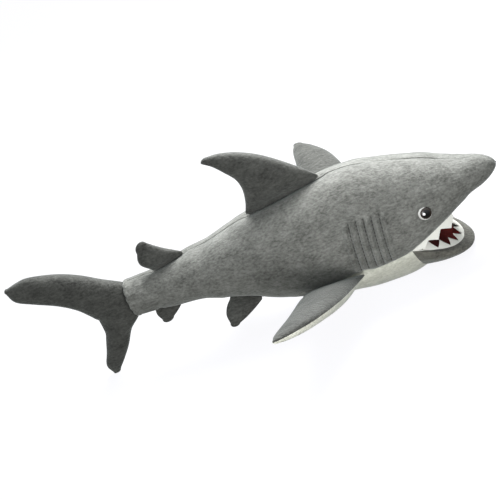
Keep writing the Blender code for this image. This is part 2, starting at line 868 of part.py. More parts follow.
def ridge_frame(front_at, base, height, thickness, angle, up):
    """A fin that stands on the middle line of the back or of the belly."""
    front = trunk_point(x_at(front_at), angle)
    rear = trunk_point(x_at(front_at) - base, angle)
    front.y = 0.0
    rear.y = 0.0
    back = rear - front
    bulge = 0.0
    for step in range(BULGE_STEPS + 1):
        share = OVERHANG * step / BULGE_STEPS
        ridge = trunk_point(x_at(front_at) - base * share, angle)
        bulge = max(bulge, (ridge.z - (front.z + back.z * share)) * up)
    lift = Vector((0.0, 0.0, up * (FIN_GAP + bulge)))
    return FinFrame(front + lift, back, Vector((0.0, 0.0, up)), base, height, thickness)


def flank_frame(front_at, base, height, thickness, angles, lift, gap, side):
    """A fin that stands out from the flank, raised above level by the lift angle."""
    front = trunk_point(x_at(front_at), angles[0], side)
    rear = trunk_point(x_at(front_at) - base, angles[1], side)
    out = Vector((0.0, side * math.cos(lift), math.sin(lift)))
    bulge = 0.0
    for step in range(BULGE_STEPS + 1):
        share = step / BULGE_STEPS
        flank = trunk_point(x_at(front_at) - base * share, mix(*angles, share), side)
        bulge = max(bulge, (flank - (front + (rear - front) * share)).dot(out))
    start = front + out * (gap + bulge)
    return FinFrame(start, rear - front, out, (rear - front).length, height, thickness)


DORSAL = ridge_frame(
    DORSAL_FRONT_AT, DORSAL_BASE, DORSAL_HEIGHT, DORSAL_THICKNESS, math.pi / 2, 1
)
add_fin("dorsal_fin", DORSAL, DORSAL_ROWS, ("right", "left"), (GREY_PLUSH, GREY_PLUSH))
SECOND = ridge_frame(
    SECOND_FRONT_AT, SECOND_BASE, SECOND_HEIGHT, SECOND_THICKNESS, math.pi / 2, 1
)
add_fin("second_dorsal", SECOND, SECOND_ROWS, ("right", "left"), (GREY_PLUSH, GREY_PLUSH))
ANAL = ridge_frame(ANAL_FRONT_AT, ANAL_BASE, ANAL_HEIGHT, ANAL_THICKNESS, -math.pi / 2, -1)
add_fin("anal_fin", ANAL, ANAL_ROWS, ("left", "right"), (GREY_PLUSH, GREY_PLUSH))

PECTORAL_ANGLES = (PECTORAL_FRONT_ANGLE, PECTORAL_REAR_ANGLE)
PELVIC_ANGLES = (PELVIC_ANGLE, PELVIC_ANGLE)
for tag, side in (("right", -1), ("left", 1)):
    pectoral = flank_frame(
        PECTORAL_FRONT_AT, PECTORAL_BASE, PECTORAL_HEIGHT, PECTORAL_THICKNESS,
        PECTORAL_ANGLES, PECTORAL_LIFT, PECTORAL_GAP, side,
    )
    faces = ("top", "under") if side < 0 else ("under", "top")
    cloths = (GREY_PLUSH, CREAM_PLUSH) if side < 0 else (CREAM_PLUSH, GREY_PLUSH)
    add_fin(f"pectoral_{tag}", pectoral, PECTORAL_ROWS, faces, cloths)
    pelvic = flank_frame(
        PELVIC_FRONT_AT, PELVIC_BASE, PELVIC_HEIGHT, PELVIC_THICKNESS,
        PELVIC_ANGLES, PELVIC_DROP, FIN_GAP, side,
    )
    faces = ("outer", "inner") if side < 0 else ("inner", "outer")
    add_fin(f"pelvic_{tag}", pelvic, PELVIC_ROWS, faces, (GREY_PLUSH, GREY_PLUSH))


# Tail fin: a crescent whose neck goes into the cuff at the end of the trunk

CUFF_BACK, CUFF_UNDER, CUFF_HALF_WIDTH = section(CUFF_X)
CUFF_MIDDLE = (CUFF_BACK + CUFF_UNDER) / 2
CAUDAL_DROP = CUFF_MIDDLE - CAUDAL_TIP_GAP
NECK_HALF = (CUFF_BACK - CUFF_UNDER) / 2 - FABRIC - NECK_CLEARANCE
UPPER_LOBE_ROWS = (
    (0.970, 0.940, 1.000, 0.870, 0.25),
    (0.870, 0.985, 0.960, 0.670, 0.60),
    (0.755, 0.995, 0.830, 0.530, 0.85),
    (0.512, 0.870, 0.635, 0.340, 1.00),
    (0.330, 0.700, 0.505, 0.155, 1.05),
    (0.185, 0.510, 0.434, -0.010, 1.05),
    (0.062, 0.335, 0.396, -0.120, 1.05),
)
LOWER_LOBE_ROWS = (
    (0.062, -0.300, 0.370, -0.375, 1.05),
    (0.130, -0.440, 0.388, -0.480, 0.95),
    (0.217, -0.660, 0.437, -0.668, 0.80),
    (0.315, -0.845, 0.495, -0.855, 0.60),
    (0.392, -0.965, 0.472, -0.994, 0.25),
)


def caudal_rows():
    """Rows from the upper tip to the lower tip, in metres behind the cuff and above its middle."""
    rows = []
    for lead_back, lead_up, trail_back, trail_up, thick in UPPER_LOBE_ROWS:
        rows.append((
            lead_back * CAUDAL_LENGTH, lead_up * CAUDAL_RISE,
            trail_back * CAUDAL_LENGTH, trail_up * CAUDAL_RISE, thick,
        ))
    rows[-1] = (CUFF_GAP, *rows[-1][1:])
    neck_trail = 0.370 * CAUDAL_LENGTH
    rows.append((CUFF_GAP / 2, NECK_HALF, neck_trail, -0.010, 1.00))
    rows.append((-NECK_DEPTH, NECK_HALF - NECK_ROUNDING, neck_trail, -0.013, 1.00))
    rows.append((-NECK_DEPTH, NECK_ROUNDING - NECK_HALF, neck_trail, -0.020, 1.00))
    rows.append((CUFF_GAP / 2, -NECK_HALF, neck_trail, -0.022, 1.00))
    for lead_back, lead_up, trail_back, trail_up, thick in LOWER_LOBE_ROWS:
        rows.append((
            lead_back * CAUDAL_LENGTH, lead_up * CAUDAL_DROP,
            trail_back * CAUDAL_LENGTH, trail_up * CAUDAL_DROP, thick,
        ))
    rows[len(UPPER_LOBE_ROWS) + 4] = (CUFF_GAP, *rows[len(UPPER_LOBE_ROWS) + 4][1:])
    return rows


CAUDAL = FinFrame(
    Vector((CUFF_X, 0.0, CUFF_MIDDLE)), Vector((-1.0, 0.0, 0.0)), Vector((0.0, 0.0, 1.0)),
    1.0, 1.0, CAUDAL_THICKNESS,
)
CAUDAL_PIVOT = Vector((CUFF_X + NECK_DEPTH - 0.001, 0.0, CUFF_MIDDLE))
add_fin(
    "caudal_fin", CAUDAL, caudal_rows(), ("right", "left"), (GREY_PLUSH, GREY_PLUSH),
    open_start=False, pivot=CAUDAL_PIVOT,
)
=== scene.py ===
"""The finished plush shark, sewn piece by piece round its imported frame. Metres, +Z up, nose along +X."""

import math
import bmesh
import bpy
import numpy as np
from mathutils import Matrix, Vector, noise


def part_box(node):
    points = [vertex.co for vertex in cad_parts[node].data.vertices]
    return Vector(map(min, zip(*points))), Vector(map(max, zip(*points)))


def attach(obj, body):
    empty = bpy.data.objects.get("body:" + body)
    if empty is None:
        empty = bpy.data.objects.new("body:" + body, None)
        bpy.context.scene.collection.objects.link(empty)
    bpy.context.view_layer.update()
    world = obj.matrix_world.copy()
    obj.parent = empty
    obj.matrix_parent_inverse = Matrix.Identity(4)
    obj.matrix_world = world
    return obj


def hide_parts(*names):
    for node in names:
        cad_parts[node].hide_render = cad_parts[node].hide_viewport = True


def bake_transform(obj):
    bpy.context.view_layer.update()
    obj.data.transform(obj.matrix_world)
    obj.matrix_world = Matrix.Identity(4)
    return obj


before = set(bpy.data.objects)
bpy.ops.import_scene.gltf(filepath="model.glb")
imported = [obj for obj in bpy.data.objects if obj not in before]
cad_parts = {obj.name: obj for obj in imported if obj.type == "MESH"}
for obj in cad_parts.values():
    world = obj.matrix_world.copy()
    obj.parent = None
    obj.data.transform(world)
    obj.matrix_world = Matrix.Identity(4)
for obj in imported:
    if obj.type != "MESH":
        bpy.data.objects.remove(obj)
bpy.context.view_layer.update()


# ---------------------------------------------------------------------------------------------
# Side skins. Two mirrored panels of short grey plush make the back, the flanks and the snout.
# They are sewn together along the back and under the snout, stuffed tight with fibre, and
# tucked five times behind the mouth for the gills. Fin roots and eyes pull them in a little.

CUFF_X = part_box("side_panel_right")[0].x
NOSE_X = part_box("side_panel_right")[1].x + 0.0005
TRUNK_LENGTH = NOSE_X - CUFF_X
TRUNK_DEPTH = 0.1494
TRUNK_WIDTH = 0.112
NOSE_HEIGHT = 0.088
NOSE_ROUNDING = 0.026
NOSE_POWER = 2.4
PLUSH_THICKNESS = 0.0016
MOUTH_CORNER_AT = 0.7337
MOUTH_CORNER_SINE = 0.40
LIP_FRONT_AT = 0.903
LIP_RISE_POWER = 1.5
SEAM_AT_THROAT = math.radians(-27.0)
SEAM_AT_BELLY = math.radians(-66.0)
SEAM_BEND_FRONT = 0.60
SEAM_BEND_REAR = 0.36
# Share of the way from the tail cuff to the nose, height of the back and of the underside, half-width
TRUNK_PROFILE = (
    (0.000, 0.717, 0.415, 0.357), (0.067, 0.721, 0.401, 0.400), (0.105, 0.732, 0.388, 0.464),
    (0.175, 0.780, 0.375, 0.554), (0.230, 0.798, 0.325, 0.661), (0.285, 0.837, 0.266, 0.768),
    (0.371, 0.900, 0.147, 0.875), (0.476, 0.946, 0.045, 0.964), (0.582, 0.996, -0.020, 1.000),
    (0.652, 1.000, -0.030, 0.990), (0.700, 0.971, -0.025, 0.955), (0.734, 0.945, 0.000, 0.915),
    (0.778, 0.905, 0.055, 0.857), (0.831, 0.850, 0.218, 0.750), (0.903, 0.750, 0.416, 0.536),
    (0.954, 0.703, 0.470, 0.350), (1.000, 0.664, 0.522, 0.200),
)


def mix(low, high, share):
    return low + (high - low) * share


def smooth_step(low, high, value):
    share = np.clip((value - low) / (high - low), 0.0, 1.0)
    return share * share * (3 - 2 * share)


def along_rows(rows, at):
    """The values of a table at a place along its first column, on a smooth curve through its rows."""
    last = len(rows) - 2
    index = 0
    while index < last and at > rows[index + 1][0]:
        index += 1
    before, first = np.array(rows[max(index - 1, 0)]), np.array(rows[index])
    second, after = np.array(rows[index + 1]), np.array(rows[min(index + 2, last + 1)])
    width = second[0] - first[0]
    share = (at - first[0]) / width
    slope_first = (second - before) / (second[0] - before[0]) * width
    slope_second = (after - first) / (after[0] - first[0]) * width
    value = first * (2 * share**3 - 3 * share**2 + 1) + second * (3 * share**2 - 2 * share**3)
    value += slope_first * (share**3 - 2 * share**2 + share) + slope_second * (share**3 - share**2)
    return value[1:]


def x_at(share):
    return CUFF_X + share * TRUNK_LENGTH


def share_at(x):
    return (x - CUFF_X) / TRUNK_LENGTH


def section(x):
    """Back height, underside height and half-width of the stuffed trunk at one place."""
    back, under, half_width = along_rows(TRUNK_PROFILE, share_at(x))
    back, under, half_width = back * TRUNK_DEPTH, under * TRUNK_DEPTH, half_width * TRUNK_WIDTH / 2
    into_nose = max((x - (NOSE_X - NOSE_ROUNDING)) / NOSE_ROUNDING, 0.0)
    cap = (1 - min(into_nose, 1.0) ** NOSE_POWER) ** (1 / NOSE_POWER)
    middle = mix((back + under) / 2, NOSE_HEIGHT, into_nose)
    half_depth = (back - under) / 2 * cap
    return middle + half_depth, middle - half_depth, half_width * cap


def trunk_point(x, angle, side=1):
    """A point of the trunk. Angle 0 is the widest point of the flank and 90 degrees the back."""
    back, under, half_width = section(x)
    height = (back + under) / 2 + (back - under) / 2 * math.sin(angle)
    return Vector((x, side * half_width * math.cos(angle), max(height, 0.0)))


MOUTH_X = x_at(MOUTH_CORNER_AT)
LIP_FRONT_X = x_at(LIP_FRONT_AT)
MOUTH_BACK, MOUTH_UNDER, MOUTH_HALF_WIDTH = section(MOUTH_X)
HINGE_Z = (MOUTH_BACK + MOUTH_UNDER) / 2 - MOUTH_CORNER_SINE * (MOUTH_BACK - MOUTH_UNDER) / 2
LIP_FRONT_Z = section(LIP_FRONT_X)[1]


def lip_height(x):
    share = min(max((x - MOUTH_X) / (LIP_FRONT_X - MOUTH_X), 0.0), 1.0)
    return mix(HINGE_Z, LIP_FRONT_Z, 1 - (1 - share) ** LIP_RISE_POWER)


def lip_angle(x):
    back, under, _ = section(x)
    sine = ((back + under) / 2 - lip_height(x)) / ((back - under) / 2)
    return -math.asin(min(max(sine, 0.0), 1.0))


def lower_edge_angle(x):
    """Where a side skin ends: at the belly seam, then the lip, then the seam under the snout."""
    if x >= LIP_FRONT_X:
        return -math.pi / 2
    if x >= MOUTH_X:
        return lip_angle(x)
    bend = smooth_step(SEAM_BEND_REAR, SEAM_BEND_FRONT, share_at(x))
    seam = mix(SEAM_AT_BELLY, SEAM_AT_THROAT, bend)
    corner = -math.asin(MOUTH_CORNER_SINE)
    return mix(seam, corner, smooth_step(SEAM_BEND_FRONT, MOUTH_CORNER_AT, share_at(x)))


GILLS_PER_SIDE = 5
GILL_FIRST_AT = 0.622
GILL_PITCH = 0.0092
GILL_LEAN = 0.011
GILL_TOP_SINE = 0.42
GILL_BOTTOM_SINE = -0.37
GILL_DEPTH = 0.0030
GILL_FOLD = 0.0011
GILL_RIDGE = 0.0024


def gill_relief(x, sine):
    """How far the five sewn tucks pull the flank in, and how far the folds between them swell."""
    share = (GILL_TOP_SINE - sine) / (GILL_TOP_SINE - GILL_BOTTOM_SINE)
    length = smooth_step(-0.06, 0.03, share) * (1 - smooth_step(0.97, 1.06, share))
    first = x_at(GILL_FIRST_AT) - GILL_LEAN * share
    behind = (x - first) / GILL_PITCH
    nearest = np.clip(np.round(behind), 0, GILLS_PER_SIDE - 1)
    off = np.abs(behind - nearest) * GILL_PITCH
    tuck = -GILL_DEPTH * np.exp(-((off / GILL_FOLD) ** 2))
    ridge = GILL_RIDGE * np.sin(np.clip(off / GILL_PITCH, 0.0, 1.0) * math.pi) ** 2
    return (tuck + ridge) * length


def lumps(points, size, seed):
    """Smooth unevenness of the packed fibre, about -1 to 1."""
    shift = Vector((seed, 2.3 * seed, 0.7 * seed))
    flat = points.reshape(-1, 3)
    values = [noise.noise(Vector(point) / size + shift) for point in flat]
    return np.array(values).reshape(points.shape[:-1])


def near_line(points, start, end):
    """Distance of each point from a straight line between two others."""
    start, end = np.array(start), np.array(end)
    along = end - start
    share = np.clip(((points - start) @ along) / (along @ along), 0.0, 1.0)
    return np.linalg.norm(points - start - share[..., None] * along, axis=-1)


def grid_normals(grid):
    across = np.cross(np.gradient(grid, axis=0), np.gradient(grid, axis=1))
    length = np.linalg.norm(across, axis=-1, keepdims=True)
    return across / np.maximum(length, 1e-12)


def distance_from_edge(grid):
    """Distance of each point from the grid's first column, measured along its row."""
    steps = np.linalg.norm(np.diff(grid, axis=1), axis=-1)
    return np.concatenate([np.zeros((len(grid), 1)), np.cumsum(steps, axis=1)], axis=1)


def mesh_piece(name, points, faces, materials):
    mesh = bpy.data.meshes.new(name)
    mesh.from_pydata([tuple(map(float, point)) for point in points], [], faces)
    shape = bmesh.new()
    shape.from_mesh(mesh)
    bmesh.ops.remove_doubles(shape, verts=shape.verts, dist=0.00002)
    bmesh.ops.dissolve_degenerate(shape, dist=0.000002, edges=shape.edges)
    shape.to_mesh(mesh)
    shape.free()
    for material in materials:
        mesh.materials.append(material)
    mesh.shade_smooth()
    piece = bpy.data.objects.new(name, mesh)
    bpy.context.scene.collection.objects.link(piece)
    return piece


def grid_faces(rows, columns, around=False):
    faces = []
    for row in range(rows - 1):
        for column in range(columns if around else columns - 1):
            beside = (column + 1) % columns
            here = row * columns
            faces.append((here + column, here + beside, here + columns + beside, here + columns + column))
    return faces


def face_outwards(piece, centre_line):
    """Turns an open skin's faces away from a function that gives the middle of it at each point."""
    mesh = piece.data
    away = 0.0
    for face in mesh.polygons:
        away += face.area * face.normal.dot(face.center - centre_line(face.center))
    if away < 0:
        mesh.flip_normals()


def recalculate_normals(piece):
    shape = bmesh.new()
    shape.from_mesh(piece.data)
    bmesh.ops.recalc_face_normals(shape, faces=shape.faces)
    shape.to_mesh(piece.data)
    shape.free()


def bake_modifiers(piece):
    """Replaces a piece's mesh by what its modifiers make of it."""
    bpy.context.view_layer.update()
    graph = bpy.context.evaluated_depsgraph_get()
    mesh = bpy.data.meshes.new_from_object(piece.evaluated_get(graph))
    piece.modifiers.clear()
    piece.data = mesh


def give_thickness(piece, thickness):
    wall = piece.modifiers.new("Cloth", "SOLIDIFY")
    wall.thickness = thickness
    wall.offset = -1.0
    bake_modifiers(piece)


def plush(name, deep, bright):
    """Short-pile plush: mottled where the pile parts, brushed towards the tail, with a soft sheen."""
    material = bpy.data.materials.new(name)
    material.use_nodes = True
    nodes = material.node_tree.nodes
    links = material.node_tree.links
    shader = nodes["Principled BSDF"]
    place = nodes.new("ShaderNodeTexCoord")
    brushed = nodes.new("ShaderNodeMapping")
    brushed.inputs["Scale"].default_value = (0.55, 1.0, 1.0)
    links.new(place.outputs["Object"], brushed.inputs["Vector"])
    tufts = nodes.new("ShaderNodeTexNoise")
    tufts.inputs["Scale"].default_value = 440.0
    tufts.inputs["Detail"].default_value = 3.0
    tufts.inputs["Roughness"].default_value = 0.65
    links.new(brushed.outputs["Vector"], tufts.inputs["Vector"])
    patches = nodes.new("ShaderNodeTexNoise")
    patches.inputs["Scale"].default_value = 95.0
    patches.inputs["Detail"].default_value = 2.0
    links.new(brushed.outputs["Vector"], patches.inputs["Vector"])
    mottle = nodes.new("ShaderNodeMix")
    mottle.inputs["Factor"].default_value = 0.35
    links.new(tufts.outputs["Fac"], mottle.inputs["A"])
    links.new(patches.outputs["Fac"], mottle.inputs["B"])
    shade = nodes.new("ShaderNodeValToRGB")
    shade.color_ramp.elements[0].position = 0.34
    shade.color_ramp.elements[0].color = (*deep, 1.0)
    shade.color_ramp.elements[1].position = 0.66
    shade.color_ramp.elements[1].color = (*bright, 1.0)
    links.new(mottle.outputs["Result"], shade.inputs["Fac"])
    links.new(shade.outputs["Color"], shader.inputs["Base Color"])
    pile = nodes.new("ShaderNodeBump")
    pile.inputs["Strength"].default_value = 0.9
    pile.inputs["Distance"].default_value = 0.0016
    links.new(mottle.outputs["Result"], pile.inputs["Height"])
    links.new(pile.outputs["Normal"], shader.inputs["Normal"])
    shader.inputs["Roughness"].default_value = 0.72
    shader.inputs["Specular IOR Level"].default_value = 0.30
    shader.inputs["Sheen Weight"].default_value = 0.50
    shader.inputs["Sheen Roughness"].default_value = 0.45
    shader.inputs["Sheen Tint"].default_value = (0.90, 0.95, 0.93, 1.0)
    return material


GREY_PLUSH = plush("grey_plush", (0.082, 0.083, 0.074), (0.258, 0.262, 0.243))

ROW_STEP = 0.0026
GILL_ROW_STEP = 0.0009
NOSE_ROWS = 12
SIDE_COLUMNS = 58
BACK_SEAM_DEPTH = 0.0004
BACK_SEAM_WIDTH = 0.0030
BELLY_SEAM_DEPTH = 0.0017
BELLY_SEAM_WIDTH = 0.0034
TURNED_IN = 0.0030
SEAM_GAP = 0.0001
SMOOTH_NOSE = 0.022
BARE_NOSE = 0.005
LUMP_SIZES = ((0.060, 0.0011), (0.022, 0.0004), (0.009, 0.00018))


def side_places():
    gills_from = x_at(GILL_FIRST_AT) - GILL_LEAN - 0.006
    gills_to = x_at(GILL_FIRST_AT) + GILL_PITCH * GILLS_PER_SIDE
    nose_from = NOSE_X - NOSE_ROUNDING
    places = list(np.arange(CUFF_X, gills_from, ROW_STEP))
    places += list(np.arange(gills_from, gills_to, GILL_ROW_STEP))
    places += [MOUTH_X]
    places += list(np.arange(max(gills_to, MOUTH_X) + ROW_STEP / 2, LIP_FRONT_X, ROW_STEP / 1.5))
    places += [LIP_FRONT_X]
    places += list(np.arange(LIP_FRONT_X + ROW_STEP / 2, nose_from, ROW_STEP))
    turns = np.linspace(0.0, math.pi / 2, NOSE_ROWS)
    places += [nose_from + NOSE_ROUNDING * math.sin(turn) for turn in turns]
    return sorted(set(places))


ROOT_PINCHES = []


def root_relief(points):
    """How far the sewn fin roots pull the skin in."""
    relief = np.zeros(points.shape[:-1])
    for start, end, depth, reach in ROOT_PINCHES:
        relief -= depth * np.exp(-((near_line(points, start, end) / reach) ** 2))
    return relief


def body_lumps(points, seed):
    return sum(height * lumps(points, size, seed + size) for size, height in LUMP_SIZES)


CREASE_AT = 0.056
CREASE_DEPTH = 0.0016
CREASE_WIDTH = 0.0026
CUFF_HEIGHT = 0.085
GATHERS = 13.0
GATHER_DEPTH = 0.0005
GATHER_REACH = 0.012


def cuff_relief(grid):
    """The gathers at the tail cuff's hem, and the soft crease in front of it."""
    from_cuff = grid[..., 0] - CUFF_X
    around = np.arctan2(grid[..., 2] - CUFF_HEIGHT, grid[..., 1])
    gathers = GATHER_DEPTH * np.sin(around * GATHERS) * np.exp(-from_cuff / GATHER_REACH)
    crease_x = CREASE_AT * TRUNK_LENGTH + 0.004 * np.sin(around * 2.0 + 0.6)
    crease = -CREASE_DEPTH * np.exp(-(((from_cuff - crease_x) / CREASE_WIDTH) ** 2))
    return gathers + crease * (0.55 + 0.45 * np.sin(around * 3.0 + 1.0))


def make_side_skin(tag, side):
    places = side_places()
    grid = np.zeros((len(places), SIDE_COLUMNS + 1, 3))
    angles = np.zeros(grid.shape[:2])
    for row, x in enumerate(places):
        low = lower_edge_angle(x)
        for column in range(SIDE_COLUMNS + 1):
            angle = mix(math.pi / 2, low, column / SIDE_COLUMNS)
            angles[row, column] = angle
            grid[row, column] = trunk_point(x, angle, side)
    normals = grid_normals(grid)
    if (normals[..., 1] * side).sum() < 0:
        normals = -normals
    x = grid[..., 0]
    from_back = distance_from_edge(grid)
    from_low = from_back[:, -1:] - from_back
    to_nose = 1 - smooth_step(NOSE_X - SMOOTH_NOSE, NOSE_X - BARE_NOSE, x)
    relief = -BACK_SEAM_DEPTH * np.exp(-((from_back / BACK_SEAM_WIDTH) ** 2))
    relief -= BELLY_SEAM_DEPTH * np.exp(-((from_low / BELLY_SEAM_WIDTH) ** 2))
    relief += gill_relief(x, np.sin(angles)) + cuff_relief(grid)
    relief += body_lumps(grid, 3.0 + side) + root_relief(grid)
    grid = grid + normals * (relief * to_nose)[..., None]
    grid[:, 0, 1] = side * SEAM_GAP
    turned_back = grid[:, :1] - normals[:, :1] * (TURNED_IN * to_nose[:, :1, None])
    turned_back[..., 1] = side * SEAM_GAP
    turned_low = grid[:, -1:] - normals[:, -1:] * (TURNED_IN * to_nose[:, -1:, None])
    grid = np.concatenate([turned_back, grid, turned_low], axis=1)
    rows, columns = grid.shape[:2]
    piece = mesh_piece(f"side_skin_{tag}", grid.reshape(-1, 3), grid_faces(rows, columns), [GREY_PLUSH])
    face_outwards(piece, lambda point: Vector((point.x, 0.0, sum(section(min(point.x, NOSE_X))[:2]) / 2)))
    give_thickness(piece, PLUSH_THICKNESS)
    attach(piece, "trunk")
    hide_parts(f"side_panel_{tag}")
    return piece


# Fins stand on these lines of the trunk: share of its length at the front, base, height, thickness
DORSAL_SIZE = (0.582, 0.0990, 0.0860, 0.0110)
SECOND_SIZE = (0.174, 0.0440, 0.0350, 0.0065)
ANAL_SIZE = (0.108, 0.0330, 0.0150, 0.0045)
PECTORAL_SIZE = (0.602, 0.0790, 0.1680, 0.0120)
PECTORAL_ANGLES = (math.radians(-27.5), math.radians(-42.0))
PECTORAL_LIFT = math.radians(17.0)
PELVIC_SIZE = (0.321, 0.0360, 0.0290, 0.0055)
PELVIC_ANGLES = (math.radians(-50.0), math.radians(-50.0))
PELVIC_DROP = math.radians(-48.0)


def root_line(size, angles, side):
    start = trunk_point(x_at(size[0]), angles[0], side)
    end = trunk_point(x_at(size[0]) - size[1], angles[1], side)
    return start, end


UPRIGHT = (math.pi / 2, math.pi / 2)
DOWNRIGHT = (-math.pi / 2, -math.pi / 2)
ROOT_PINCHES.append((*root_line(DORSAL_SIZE, UPRIGHT, 1), 0.0022, 0.0065))
ROOT_PINCHES.append((*root_line(SECOND_SIZE, UPRIGHT, 1), 0.0016, 0.0050))
ROOT_PINCHES.append((*root_line(ANAL_SIZE, DOWNRIGHT, 1), 0.0012, 0.0040))
for side in (-1, 1):
    ROOT_PINCHES.append((*root_line(PECTORAL_SIZE, PECTORAL_ANGLES, side), 0.0034, 0.0080))
    ROOT_PINCHES.append((*root_line(PELVIC_SIZE, PELVIC_ANGLES, side), 0.0016, 0.0050))

EYE_AT = 0.8075
EYE_RISE = math.asin(0.10)
for side in (-1, 1):
    socket = trunk_point(x_at(EYE_AT), EYE_RISE, side)
    ROOT_PINCHES.append((socket, socket + Vector((0.0005, 0.0, 0.0)), 0.0030, 0.0095))

side_skins = [make_side_skin("right", -1), make_side_skin("left", 1)]
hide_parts("trunk_filling")


# ---------------------------------------------------------------------------------------------
# Belly skin. One panel of cream plush from the tail to the mouth, sewn to both side skins.
# It carries the toy's weight, so the fibre behind it packs down flat under the chest.

CREAM_PLUSH = plush("cream_plush", (0.480, 0.485, 0.410), (0.800, 0.805, 0.710))
BELLY_COLUMNS = 48


def make_belly_skin():
    places = list(np.arange(CUFF_X, MOUTH_X, ROW_STEP)) + [MOUTH_X]
    grid = np.zeros((len(places), BELLY_COLUMNS + 1, 3))
    for row, x in enumerate(places):
        low = lower_edge_angle(x)
        for column in range(BELLY_COLUMNS + 1):
            angle = mix(low, -math.pi - low, column / BELLY_COLUMNS)
            grid[row, column] = trunk_point(x, angle, -1)
    normals = grid_normals(grid)
    if normals[..., 2].sum() > 0:
        normals = -normals
    from_right = distance_from_edge(grid)
    from_seam = np.minimum(from_right, from_right[:, -1:] - from_right)
    relief = -BELLY_SEAM_DEPTH * np.exp(-((from_seam / BELLY_SEAM_WIDTH) ** 2))
    relief += cuff_relief(grid) + body_lumps(grid, 6.0) + root_relief(grid)
    resting = smooth_step(0.0, 0.006, grid[..., 2])
    grid = grid + normals * (relief * resting)[..., None]
    grid[..., 2] = np.maximum(grid[..., 2], 0.0)
    turned_right = grid[:, :1] - normals[:, :1] * TURNED_IN
    turned_left = grid[:, -1:] - normals[:, -1:] * TURNED_IN
    grid = np.concatenate([turned_right, grid, turned_left], axis=1)
    rows, columns = grid.shape[:2]
    piece = mesh_piece("belly_skin", grid.reshape(-1, 3), grid_faces(rows, columns), [CREAM_PLUSH])
    face_outwards(piece, lambda point: Vector((point.x, 0.0, sum(section(point.x)[:2]) / 2)))
    give_thickness(piece, PLUSH_THICKNESS)
    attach(piece, "trunk")
    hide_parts("belly_panel")


make_belly_skin()


# ---------------------------------------------------------------------------------------------
# Tail cuff. The open end of the trunk is folded back and hemmed, and a plush disc behind the
# hem closes off the fibre, so the tail fin's neck sits in a little pocket. The pocket's
# plush is near black, painted shadow for the gap round the neck.

HEM_RADIUS = 0.0021
HEM_TURNS = 12
HEM_STEPS = 96
POCKET_DEPTH = 0.0165
POCKET_ROWS = 6
POCKET_START = 0.0010
POCKET_THICKNESS = 0.0008
# Near-black plush for the pocket: painted shadow in the gap round the tail fin's neck.
POCKET_PAINTED_SHADOW_PLUSH = plush("pocket_painted_shadow_plush", (0.030, 0.030, 0.028), (0.070, 0.070, 0.066))


def around_trunk(x, count, inset):
    """A ring of points just inside the trunk's surface."""
    back, under, half_width = section(x)
    middle = Vector((x, 0.0, (back + under) / 2))
    ring = []
    for step in range(count):
        angle = 2 * math.pi * step / count
        across = (half_width - inset) * math.cos(angle)
        ring.append(middle + Vector((0.0, across, ((back - under) / 2 - inset) * math.sin(angle))))
    return ring


def make_cuff_hem():
    points = []
    for turn in range(HEM_TURNS):
        angle = 2 * math.pi * turn / HEM_TURNS
        inset = HEM_RADIUS * (0.75 - math.cos(angle))
        for step, point in enumerate(around_trunk(CUFF_X, HEM_STEPS, inset)):
            gather = 0.0004 * math.sin(step * GATHERS * 2 * math.pi / HEM_STEPS)
            points.append(point + Vector((HEM_RADIUS * math.sin(angle) * 1.5 + gather + 0.0008, 0.0, 0.0)))
    faces = grid_faces(HEM_TURNS + 1, HEM_STEPS, around=True)
    faces = [tuple(index % len(points) for index in face) for face in faces]
    piece = mesh_piece("cuff_hem", points, faces, [GREY_PLUSH])
    recalculate_normals(piece)
    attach(piece, "trunk")


def make_cuff_pocket():
    points = []
    for row in range(POCKET_ROWS + 1):
        depth = POCKET_DEPTH * row / POCKET_ROWS
        points += around_trunk(CUFF_X + POCKET_START + depth, HEM_STEPS, HEM_RADIUS * 1.2)
    back_wall = section(CUFF_X + POCKET_DEPTH)
    points.append(Vector((CUFF_X + POCKET_START + POCKET_DEPTH, 0.0, (back_wall[0] + back_wall[1]) / 2)))
    faces = grid_faces(POCKET_ROWS + 1, HEM_STEPS, around=True)
    last = POCKET_ROWS * HEM_STEPS
    faces += [(last + step, last + (step + 1) % HEM_STEPS, len(points) - 1) for step in range(HEM_STEPS)]
    piece = mesh_piece("cuff_pocket", points, faces, [POCKET_PAINTED_SHADOW_PLUSH])
    recalculate_normals(piece)
    piece.data.flip_normals()
    give_thickness(piece, POCKET_THICKNESS)
    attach(piece, "trunk")


make_cuff_hem()
make_cuff_pocket()


# ---------------------------------------------------------------------------------------------
# Gill stitches. Each tuck is held by a row of small dark stitches in the bottom of its fold.

STITCH_LENGTH = 0.0034
STITCH_GAP = 0.0012
STITCH_RADIUS = 0.00042
GILL_SINK = 0.0016


def thread_material():
    material = bpy.data.materials.new("dark_thread")
    material.use_nodes = True
    nodes, links = material.node_tree.nodes, material.node_tree.links
    shader = nodes["Principled BSDF"]
    place = nodes.new("ShaderNodeTexCoord")
    twist = nodes.new("ShaderNodeTexWave")
    twist.inputs["Scale"].default_value = 700.0
    twist.bands_direction = "DIAGONAL"
    links.new(place.outputs["Object"], twist.inputs["Vector"])
    shade = nodes.new("ShaderNodeValToRGB")
    shade.color_ramp.elements[0].color = (0.010, 0.010, 0.010, 1.0)
    shade.color_ramp.elements[1].color = (0.045, 0.045, 0.042, 1.0)
    links.new(twist.outputs["Fac"], shade.inputs["Fac"])
    links.new(shade.outputs["Color"], shader.inputs["Base Color"])
    shader.inputs["Roughness"].default_value = 0.75
    return material


DARK_THREAD = thread_material()


def set_input(modifier, tree, name, value):
    socket = next(item for item in tree.interface.items_tree if item.name == name)
    modifier[socket.identifier] = value


